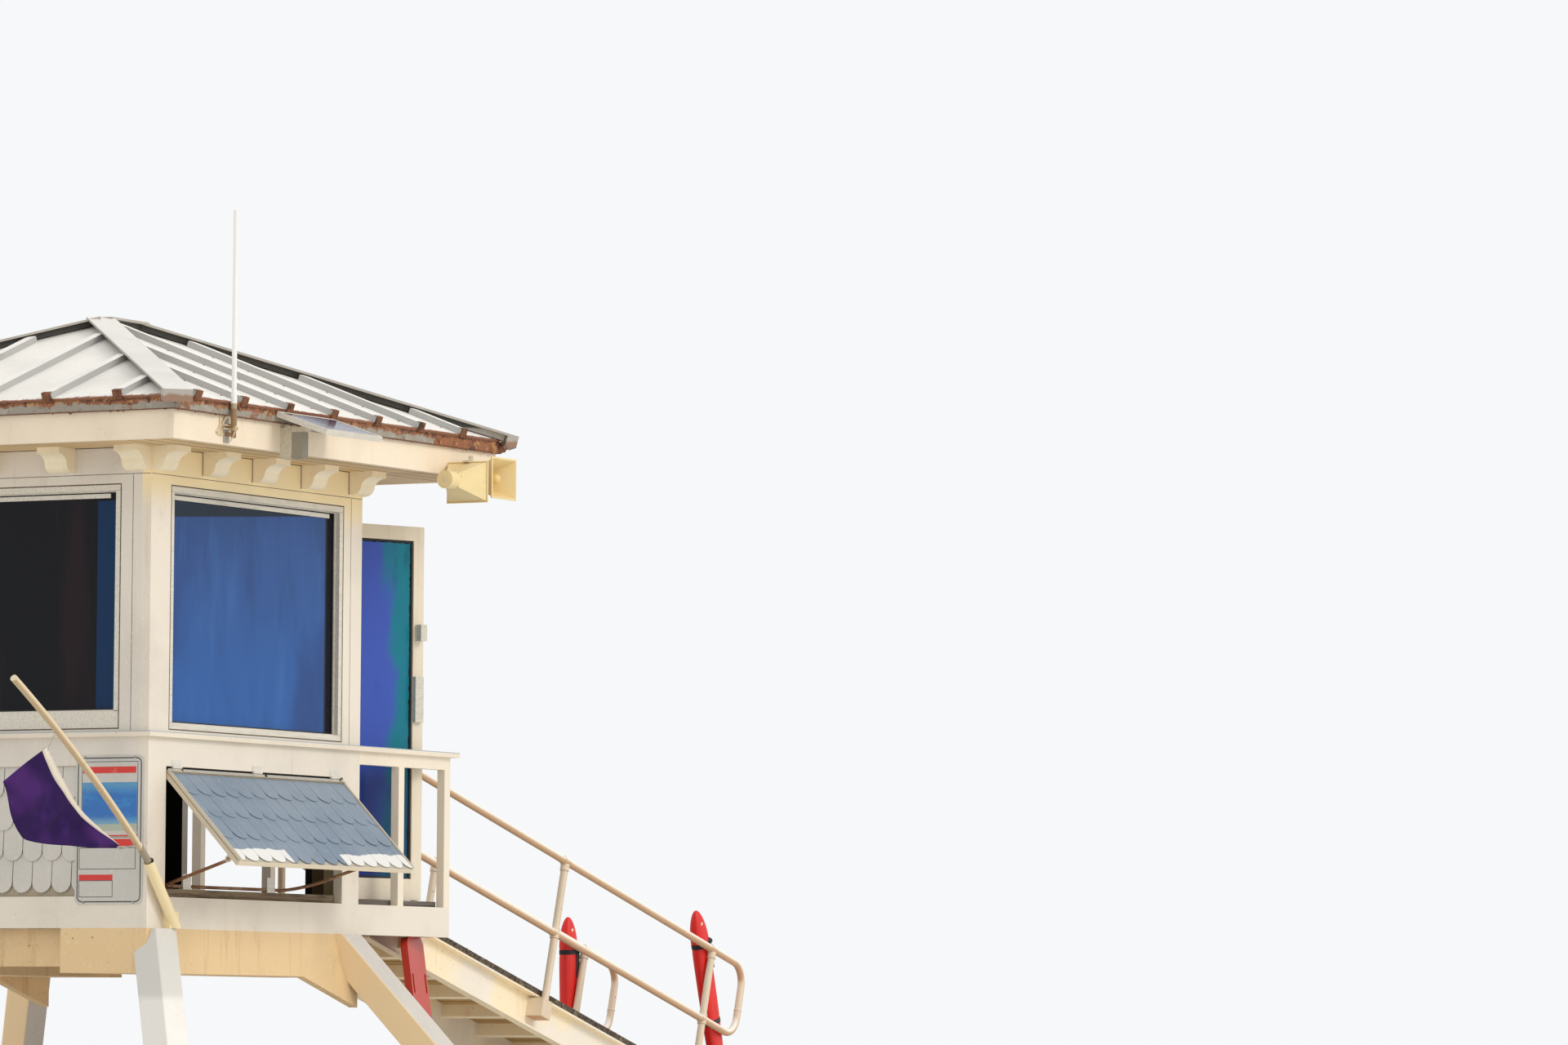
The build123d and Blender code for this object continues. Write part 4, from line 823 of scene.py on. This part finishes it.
top_strip = Piece().block(hatch_plane, (189, 2011), (-27, -3), (-8.2, -7))
top_strip.finish("hatch_top_strip", closure_metal, "cream_paint", "hatch")
strip_bolts = Piece()
for x in (320, 1180, 1965):
    strip_bolts.bolt(hatch_plane, x, -15, 6, -7)
strip_bolts.finish("hatch_strip_bolts", rubber, "hinge_steel", "hatch")
frame_lines = Piece().block(hatch_plane, (189, 2011), (-30, -27.2), (-8.2, -6.8))
for x in ((187.4, 188.4), (2011.6, 2012.6)):
    frame_lines.block(hatch_plane, x, (-700, -12), (-27, -23.5))
frame_lines.finish("hatch_frame_lines", caulk, "cream_paint", "hatch")
weather_strip = Piece().block(near_plane, (188, 2012), (1970, 1995.2), (-56, -48))
weather_strip.finish("hatch_weather_strip", rubber, "cream_paint")


# Windows: the black gasket round each sheet of glass, and corner joints in the frames

gaskets = Piece()
beads = Piece()
frame_gaps = Piece()
joints = Piece()
glass_face = -46
frame_front = -3
window_foot = 2204
window_head = 3555
frame_width = 32
wall_gap = 7
for place, across, foot in (
    (near_plane, (205, 1995), frame_width),
    (far_plane, (205, 1995), 96),
    (land_plane, (205, 1995), 96),
    (sea_plane, (1271, 1995), frame_width),
):
    clear_x = (across[0] + frame_width, across[1] - frame_width)
    clear_y = (window_foot + foot, window_head - frame_width)
    gaskets.ring(place, clear_x, clear_y, 13, (glass_face, glass_face + 5))
    beads.ring(place, clear_x, clear_y, 6, (glass_face + 5, glass_face + 14))
    head_strip = (clear_y[1] - 38, clear_y[1] - 13)
    beads.block(place, (clear_x[0] + 8, clear_x[1] - 60), head_strip, (glass_face, glass_face + 9))
    # The dark caulk ring round each frame also paints the shade in the gap between frame and wall.
    frame_gaps.ring(
        place,
        (across[0] - wall_gap, across[1] + wall_gap),
        (window_foot - wall_gap, window_head + wall_gap),
        wall_gap - 0.3,
        (-2.5, 0.5),
    )
    for x in across:
        inward = frame_width if x == across[0] else -frame_width
        for y, bar in ((window_foot, foot), (window_head, -frame_width)):
            corner = sorted((y + bar, y + bar * 0.97))
            joints.block(place, sorted((x, x + inward)), corner, (frame_front, frame_front + 0.6))
gaskets.finish("window_gaskets", rubber, "hinge_steel")
beads.finish("window_beads", aluminium, "frame_metal", bevel=1)
frame_gaps.finish("window_caulk", caulk, "cream_paint")
joints.finish("frame_corner_joints", rubber, "frame_metal")

door_seal = Piece()
pane_left = 83
pane_right = 767
pane_head = 3421
for z in ((-26.4, -19), (-41.6, -34.6)):
    door_seal.ring(door_plane, (pane_left, pane_right), (1434, pane_head), 12, z)
for z in ((-26.4, -25), (-36, -34.6)):
    for _ in range(60):
        tear = draw(8, 34)
        reach_in = draw(12, 19)
        y = draw(1440, 3380)
        for x in ((pane_left, pane_left + reach_in), (pane_right - reach_in, pane_right)):
            door_seal.block(door_plane, x, (y, y + tear), z)
        x = draw(90, 720)
        door_seal.block(door_plane, (x, x + tear), (pane_head - reach_in, pane_head), z)
door_seal.finish("door_gasket", rubber, "hinge_steel", "door")


# The sign: its bolts, its outline and frames, and its bare colour fields

sign_x = (hut_width - 476, hut_width - 26)
sign_z = (1224, 2052)
sign_face = 4
fastenings = Piece()
for x in (sign_x[0] + 60, sign_x[1] - 60):
    for z in (sign_z[0] + 12, sign_z[1] - 12):
        fastenings.bolt(land_plane, x, z, 5, sign_face)
fastenings.finish("sign_bolts", zinc, "galvanised_steel")


def sign_area(across, down, rise=0.8):
    """A field of the sign: across and down are measured from its upper left corner."""
    x = (sign_x[0] + across[0], sign_x[0] + across[1])
    y = (sign_z[1] - down[1], sign_z[1] - down[0])
    return x, y, (sign_face, sign_face + rise)


outline = Piece()
bend = 34
turns = 6
inset = 13
corners = (
    (sign_x[1] - inset - bend, sign_z[1] - inset - bend, 0),
    (sign_x[0] + inset + bend, sign_z[1] - inset - bend, 90),
    (sign_x[0] + inset + bend, sign_z[0] + inset + bend, 180),
    (sign_x[1] - inset - bend, sign_z[0] + inset + bend, 270),
)
quarter = [90 * turn / turns for turn in range(turns + 1)]
loop = [(x, z, radians(start + turn)) for x, z, start in corners for turn in quarter]
for here, after in zip(loop, loop[1:] + loop[:1]):
    strip = [
        (x + (bend + reach) * cos(angle), z + (bend + reach) * sin(angle))
        for (x, z, angle), reach in ((here, 0), (here, -6), (after, -6), (after, 0))
    ]
    outline.prism(land_plane, strip, sign_face, sign_face + 0.7)
for across, down in (((40, 413), (35, 456)), ((27, 402), (512, 632)), ((27, 251), (694, 787))):
    x, y, z = sign_area(across, down, 0.6)
    outline.ring(land_plane, x, y, 3, z)
outline.finish("sign_outline", sign_black, "sign_metal")
red_areas = (
    ((47, 400), (64, 100)),
    ((45, 408), (443, 450)),
    ((40, 394), (465, 505)),
    ((27, 251), (662, 693)),
)
for label, look, areas in (
    ("sign_blue_field", sign_blue, [((45, 408), (151, 382))]),
    ("sign_sand_field", sign_sand, [((45, 408), (382.5, 419))]),
    ("sign_red_fields", sign_red, red_areas),
):
    fields = Piece()
    for area in areas:
        fields.block(land_plane, *sign_area(*area))
    fields.finish(label, look, "sign_metal")


# Seams: caulk beside the corbels, under the soffit and down the wall, and the soffit's board joints

corbel_pitch = 513
corbel_width = 148
seams = Piece()
for place, across in ((near_plane, hut_length), (land_plane, hut_width)):
    for number in range(5):
        x = number * corbel_pitch
        if x > 0:
            seams.block(place, (x - 5, x - 0.5), (wall_head - 134, wall_head - 1), (0, 1.5))
        if number < 4:
            after = (x + corbel_width, x + corbel_pitch)
            seams.block(place, after, (wall_head - 4, wall_head - 0.5), (0, 2))
    seams.block(place, (4, across - 4), (3612, 3615), (0, 0.8))
    seams.block(place, (2078, 2081), (2186, 3610), (0, 0.7))
for y in (-92, -205, -318):
    x = -380
    while x < 2960:
        length = draw(60, 220)
        low = y + draw(-2.5, 2.5)
        wide = draw(1.5, 4.5)
        seams.block(near_plane, (x, x + length), (wall_head - 1.2, wall_head - 0.2), (-low, wide - low))
        x += length
seams.finish("wall_and_soffit_seams", caulk, "cream_paint")


# Roof: rusted closures at the rib feet, screws along the ribs, and the drip edge's rust flakes, torn lip
# and curl

slope = hypot(roof_rise, roof_run)
slopes = []
for x, y, along_x, along_y, length, first in (
    (eave_low, eave_low, 1, 0, eave_high_x - eave_low, 215),
    (eave_high_x, eave_high_y, -1, 0, eave_high_x - eave_low, 448),
    (eave_low, eave_high_y, 0, -1, eave_high_y - eave_low, 372.5),
    (eave_high_x, eave_low, 0, 1, eave_high_y - eave_low, 372.5),
):
    uphill = (-along_y * roof_run, along_x * roof_run, roof_rise)
    slopes.append((axes((x, y, eave_z), (along_x, along_y, 0), uphill), length, first))
rib_pitch = 467
closures = Piece()
screws = Piece()
for place, length, first in slopes:
    number = 0
    while first + number * rib_pitch < length - 80:
        x = first + number * rib_pitch
        reach = min(x, length - x) / (roof_run / slope)
        closures.block(place, (x - 30, x + 30), (-8, -0.3), (2, 49))
        closures.block(place, (x - 34, x + 34), (-11, 0.3), (-4, 8))
        closures.block(place, (x - 31, x + 31), (-8, 20), (48.2, 50.4))
        along = 120
        while along < min(reach, slope) - 160:
            screws.disc(place, x - 60, along, 8, 12, 14.5, 8)
            screws.disc(place, x - 60, along, 4.5, 14.5, 18, 6)
            along += 260
        number += 1
flakes = Piece()
drip_foot = 3923
for place, length in ((near_plane, 3020), (land_plane, 2610)):
    x = -430
    while x < length:
        wide = draw(14, 60)
        drop = draw(3, 17)
        outline = (
            (x, eave_z - 0.5),
            (x + wide * 0.3, eave_z - drop),
            (x + wide * 0.55, eave_z - drop * 0.5),
            (x + wide * 0.8, eave_z - drop * draw(0.6, 1.2)),
            (x + wide, eave_z - 0.5),
        )
        flakes.prism(place, outline, 440.2, 442)
        if draw(0, 1) < 0.3:
            hang = draw(4, 13)
            foot = ((x, drip_foot + 2), (x + wide * 0.4, drip_foot - hang), (x + wide * 0.8, drip_foot + 2))
            flakes.prism(place, foot, 438.8, 440.2)
        x += wide * draw(0.8, 1.6)
torn_lip = ((3018, 3984), (3112, 3996), (3108, 4001), (3060, 3997), (3018, 3992))
flakes.prism(near_plane, torn_lip, 434, 438)
flakes.finish("drip_edge_flakes", deep_rust, "rusted_trim")
torn_curl = ((3024, 3928), (3074, 3936), (3096, 3962), (3062, 3956), (3026, 3986))
curl = Piece().prism(near_plane, torn_curl, 435, 437)
curl.finish("drip_edge_curl", roof_paint, "roof_metal")
closures.finish("rib_end_closures", deep_rust, "rusted_trim", bevel=2)
screws.finish("roof_screws", zinc, "galvanised_steel")


# The flag: cloth hung from its heading, folded into soft upright waves

def curve_point(points, share):
    """A point on a smooth line through a few points, at a share of its length."""
    spans = [hypot(b[0] - a[0], b[1] - a[1]) for a, b in zip(points, points[1:])]
    goal = share * sum(spans)
    number = 0
    while number < len(spans) - 1 and goal > spans[number]:
        goal -= spans[number]
        number += 1
    part = min(1.0, goal / spans[number])
    before = points[max(number - 1, 0)]
    here = points[number]
    after = points[number + 1]
    beyond = points[min(number + 2, len(points) - 1)]
    place = []
    for k in range(2):
        a, b, c, d = before[k], here[k], after[k], beyond[k]
        place.append(0.5 * (
            2 * b
            + (c - a) * part
            + (2 * a - 5 * b + 4 * c - d) * part**2
            + (3 * b - a - 3 * c + d) * part**3
        ))
    return Vector(place)


flag_heading = ((-1055, 2052), (-900, 1886), (-710, 1716), (-352, 1545))
flag_free = ((-1470, 1850), (-1310, 1575), (-790, 1522), (-365, 1524))
pole_plane_y = -46
flag_columns = 90
flag_rows = 44


def flag_point(u, v, inset=0.0):
    """A point of the cloth: u along the heading from its head, v away from the heading."""
    heading = curve_point(flag_heading, u)
    free = curve_point(flag_free, u)
    flat = heading.lerp(free, v)
    depth = 30 * sin(pi * min(1.0, v * 1.6) / 2)
    wave = sin(2 * pi * (1.7 * u + 0.55 * v)) + 0.22 * sin(2 * pi * (5.3 * u - 0.7 * v) + 1.1)
    ease = sin(pi * min(max(u, 0.02), 0.98)) ** 0.35
    return spot(flat.x, pole_plane_y + depth * wave * 0.75 * ease + inset, flat.y)


def flag_sheet(lines, closed=False):
    """A sheet through lines along the heading, each at a share v and an inset."""
    sheet = Piece()
    shares = [i / flag_columns for i in range(flag_columns + 1)]
    rows = sheet.points([[flag_point(u, v, inset) for u in shares] for v, inset in lines])
    for here, after in zip(rows, rows[1:] + rows[:1] if closed else rows[1:]):
        sheet.band(here, after, open_end=1)
    return sheet


cloth = flag_sheet([(j / flag_rows, 0.0) for j in range(flag_rows + 1)])
flag_cloth = cloth.finish("flag_cloth", purple_cloth, "flag_cloth", smooth=True)
thickness = flag_cloth.modifiers.new("cloth", "SOLIDIFY")
thickness.thickness = 0.0012
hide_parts("flag")
heading_tape = flag_sheet([(0.0, -1.6), (0.11, -1.6), (0.11, 1.6), (0.0, 1.6)], closed=True)
flag_heading_tape = heading_tape.finish("flag_heading", heading_cloth, "flag_cloth", smooth=True)


# Rescue tubes: foam with a rounded nose, held in by a strap

def tube_ring(place, half_width, half_depth, along, count=28):
    """One rounded section of a tube: X along the flat side, Z through it."""
    points = []
    for turn in full_turn(count):
        c = cos(turn)
        s = sin(turn)
        x = half_width * abs(c) ** 0.62 * (1 if c >= 0 else -1)
        z = half_depth * abs(s) ** 0.75 * (1 if s >= 0 else -1)
        points.append(place @ Vector((x, along, z)))
    return points


tube_rails = (("near", 332.3, (6740, 1325), 17), ("far", 1262.3, (6735, 1288), 2))
strap_width = 30
straps = Piece()
fittings = Piece()
for label, tube_y, top, lean_degrees in tube_rails:
    lean = radians(lean_degrees)
    down = Vector((sin(lean), 0, -cos(lean)))
    place = axes((top[0], tube_y, top[1]), down.cross(Vector((0, 1, 0))), down)
    rows = []
    for along, wide, deep in (
        (0, 0.1, 0.1), (6, 0.24, 0.28), (26, 0.44, 0.52), (62, 0.66, 0.74), (105, 0.83, 0.9),
        (155, 0.95, 0.99), (196, 1.0, 1.0), (208, 0.93, 0.94), (240, 0.92, 0.93), (252, 0.98, 0.99),
        (330, 1.0, 1.0), (500, 0.99, 0.99), (680, 0.97, 0.98), (712, 0.93, 0.93), (746, 0.92, 0.92),
        (758, 0.95, 0.96), (850, 0.93, 0.94), (925, 0.86, 0.88), (966, 0.7, 0.74), (990, 0.45, 0.5),
        (1000, 0.15, 0.15),
    ):
        rows.append(tube_ring(place, 75 * wide, 44 * deep, along))
    foam = Piece().loops(rows)
    shown = foam.finish(f"{label}_rescue_tube", tube_foam, "tube_skin", smooth=True, subdivide=1)
    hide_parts("rescue_tubes")
    for along in (209, 714):
        sections = (
            (71, 42.6, along),
            (73, 43.9, along),
            (73, 43.9, along + strap_width),
            (71, 42.6, along + strap_width),
        )
        straps.loops([tube_ring(place, *section, 40) for section in sections], closed_ends=False)
    for x, along, turn in ((60, 204, 0.5), (69, 222, -0.4), (52, 232, 0.9)):
        straps.block(moved(place, (x, along, -34), turn), (-17, 17), (-9, 9), (-9, 7))
    straps.block(moved(place, (44, 236, -45), 0.05), (-19, 19), (0, 150), (-2.5, 0))
    eye = moved(place, (-14, 84, -38), 0.35, "X")
    fittings.disc(eye, 0, 0, 11, -4, 3, 16)
    fittings.disc(eye, 0, 0, 5, -6, -4, 12)
straps.finish("tube_straps", webbing, "tube_skin", bevel=1)
fittings.finish("tube_line_fittings", socket_skin, "tube_skin", bevel=1)


# Solar panel: dark cells in a pale frame

solar_lean = radians(18.9)
solar_up = Vector((0, cos(solar_lean), sin(solar_lean)))
solar_place = axes((570, -456, 3983), (1, 0, 0), solar_up)
cells = Piece()
for column in range(9):
    for row in range(4):
        x = 22 + column * 60.2
        y = -325 + row * 76.2
        cells.prism(
            solar_place,
            ((x + 6, y), (x + 53, y), (x + 59, y + 6), (x + 59, y + 68), (x + 53, y + 74),
             (x + 6, y + 74), (x, y + 68), (x, y + 6)),
            0.2,
            1.2,
        )
cells.finish("solar_cells", cell_glass, "solar_face")
solar_rim = Piece().ring(solar_place, (0, 585), (-347, 0), 14, (0, 2.4))
solar_rim.finish("solar_frame_lip", aluminium, "frame_metal", bevel=0.8)


# Handrail collars, ramp nails and splintered plank ends

slope_angle = radians(15.47)
ramp_down = Vector((cos(slope_angle), 0, -sin(slope_angle)))
ramp_out = Vector((sin(slope_angle), 0, cos(slope_angle)))
nails = Piece()
splinters = Piece()
ramp_head_x = 3205
ramp_head_z = 1237
ramp_place = axes((ramp_head_x, 300, ramp_head_z), ramp_down, (0, 1, 0))
plank_pitch = 146
planks = 31
for number in range(planks):
    start = number * plank_pitch + 5
    for y in (30, 830):
        for x in (34, 104):
            nail_x = start + x + draw(-6, 6)
            nails.disc(ramp_place, nail_x, y + draw(-5, 5), 6, 0, 1.6, 8)
    for y, side in ((0, -1), (860, 1)):
        for _ in range(5):
            x = start + draw(4, 128)
            wide = draw(5, 16)
            out = draw(2, 12) * side
            top = draw(-22, -1)
            splinters.prism(
                ramp_place,
                ((x, y), (x + wide, y), (x + wide * draw(0.3, 0.8), y + out)),
                top - draw(5, 12),
                top,
            )
nails.finish("ramp_nails", deep_rust, "rusted_steel")
splinters.finish("plank_splinters", ramp_wood, "weathered_timber")

collars = Piece()
top_rail = 821
low_rail = 364


def collar(rail_y, station, height, way, low, high, radius, sides=18):
    """A sleeve along a way, round the handrail's pipe at a station down the ramp and a height over it."""
    middle = spot(ramp_head_x, rail_y, ramp_head_z) + (ramp_down * station + ramp_out * height) / 1000
    collars.tube([middle + way * low, middle + way * high], radius, sides)


for rail_y in (265, 1195):
    for station in (1640, 3545):
        collar(rail_y, station, top_rail, ramp_down, -0.031, 0.031, 29)
        collar(rail_y, station, top_rail, ramp_out, -0.062, -0.02, 28)
        collar(rail_y, station, low_rail, ramp_out, -0.034, 0.034, 28)
        collar(rail_y, station, low_rail, ramp_down, -0.03, 0.03, 28)
    collar(rail_y, 3968, 540, ramp_out, -0.005, 0.005, 25.5, 20)
    collar(rail_y, 3968, 540, ramp_out, -0.018, -0.014, 24.5, 20)
collars.finish("handrail_collars", rail_paint, "leg_paint", bevel=1.5)


# Horns: mouth flanges, plugs in the throats and driver caps

flanges = Piece()
plugs = Piece()
marks = Piece()
for label, mouth, facing, side in (
    ("sea", (2470, -550, 3715), (1, 0, 0), (0, 1, 0)),
    ("near", (2660, -680, 3745), (0, -1, 0), (1, 0, 0)),
):
    place = axes(mouth, side, (0, 0, 1))
    out = Vector(side).cross(Vector((0, 0, 1)))
    ahead = 1 if out.dot(Vector(facing)) > 0 else -1
    flanges.ring(place, (-138, 138), (-120.5, 120.5), 7, sorted((0, -9 * ahead)))
    rows = []
    for along, radius in ((-172, 26), (-120, 29), (-60, 33), (-44, 31), (-36, 24), (-31, 12)):
        rows.append([
            place @ Vector((radius * cos(turn), radius * 0.9 * sin(turn), along * ahead))
            for turn in full_turn(20)
        ])
    plugs.loops(rows)
    for piece, radius, back, front, sides in (
        (flanges, 40, -262, -258, 24),
        (marks, 16, -263, -262, 20),
        (flanges, 11, -264, -262, 16),
        (marks, 4, -265.5, -264, 12),
    ):
        piece.disc(place, 0, 0, radius, *sorted((back * ahead, front * ahead)), sides)
flanges.finish("horn_flanges", horn_skin, "horn_plastic", bevel=1.2)
marks.finish("horn_cap_rings", stained_steel, "horn_plastic")
plugs.finish("horn_throat_plugs", horn_throat, "horn_plastic", smooth=True)


# The dark lip of the pole's socket, and the antenna's knuckle, straps and hanging rod

mouth = spot(-54, pole_plane_y, 1456)
pole_way = Vector((-646, 0, 511)).normalized()
mouth_lip = Piece()
mouth_lip.tube([mouth - pole_way * 0.0005, mouth + pole_way * 0.0015], 31, 24)
# A dark core just inside the mouth paints the shade of its hollow round the pole.
mouth_lip.tube([mouth + pole_way * 0.0015, mouth + pole_way * 0.006], 21.5, 20)
mouth_lip.finish("pole_socket_lip", rubber, "pole_plastic")

lead = ((112, -440, 3925), (88, -430, 3916), (62, -425, 3880), (32, -422, 3848), (2, -420, 3828))
knuckle = Piece()
for points, radius, sides in (
    (((110, -486, 3852), (110, -446, 3852)), 16, 16),
    (((110, -494, 3852), (110, -486, 3852)), 7, 6),
    (lead, 5, 10),
    (((34, -446, 3848), (96, -452, 3847)), 3.2, 8),
    (((58, -447, 3848), (64, -448, 3848)), 7, 6),
    (((34, -446, 3868), (96, -452, 3867)), 3.2, 8),
    (((58, -447, 3868), (64, -448, 3868)), 7, 6),
    (((112, -478, 3846), (60, -480, 3778)), 3.4, 8),
):
    knuckle.tube([spot(*point) for point in points], radius, sides)
bracket_face = 415.3
knuckle.prism(near_plane, ((8, 3818), (66, 3812), (60, 3866), (40, 3884)), bracket_face, bracket_face + 12)
knuckle.prism(near_plane, ((34, 3934), (52, 3934), (50, 3866), (38, 3866)), bracket_face, bracket_face + 8)
knuckle.finish("antenna_clamp_parts", stained_steel, "galvanised_steel", bevel=1)


# Floor, light and camera

ground = bpy.data.meshes.new("ground")
reach = 160
corners = [(-reach, -reach, 0), (reach, -reach, 0), (reach, reach, 0), (-reach, reach, 0)]
ground.from_pydata(corners, [], [(0, 1, 2, 3)])
ground.materials.append(Look("pale_floor", (236, 236, 234), 0.9).joined())
shown_object("ground", ground)

world = bpy.data.worlds.new("studio")
bpy.context.scene.world = world
world.use_nodes = True
soft = world.node_tree.nodes["Background"]
fill(soft, {"Color": (1.0, 0.99, 0.97, 1.0), "Strength": 0.8})
seen = add_node(world.node_tree, "Background", {"Color": (0.93, 0.94, 0.95, 1.0), "Strength": 1.0})
rays = add_node(world.node_tree, "LightPath").outputs
shows = rays["Is Camera Ray"]
for ray in ("Is Glossy Ray", "Is Transmission Ray"):
    either = add_node(world.node_tree, "Math", {0: shows, 1: rays[ray]})
    either.operation = "MAXIMUM"
    shows = either.outputs["Value"]
halves = {"Fac": shows, 1: soft.outputs["Background"], 2: seen.outputs["Background"]}
blend = add_node(world.node_tree, "MixShader", halves)
fill(world.node_tree.nodes["World Output"], {"Surface": blend.outputs["Shader"]})

sun = bpy.data.lights.new("key", "SUN")
sun.energy = 1.0
sun.angle = radians(26)
sun.color = (1.0, 0.965, 0.91)
sun_shown = shown_object("key", sun)
sun_from = Vector((0.05, -0.82, 0.57)).normalized()
sun_shown.rotation_euler = sun_from.to_track_quat("Z", "Y").to_euler()

lens = bpy.data.cameras.new("camera")
lens.sensor_width = 36
lens.lens = 174.57
lens.clip_end = 400
camera = shown_object("camera", lens)
right_way = Vector((0.48211, -0.87609, 0.00631))
up_way = Vector((-0.06449, -0.02831, 0.99752))
back_way = Vector((-0.87373, -0.48132, -0.07015))
turned = Matrix((right_way, up_way, back_way)).transposed().to_4x4()
stand = Vector((hut_corner.x - 35.100, hut_corner.y - 23.337, 0.406))
camera.matrix_world = Matrix.Translation(stand) @ turned
bpy.context.scene.camera = camera
bpy.context.scene.view_settings.view_transform = "Standard"
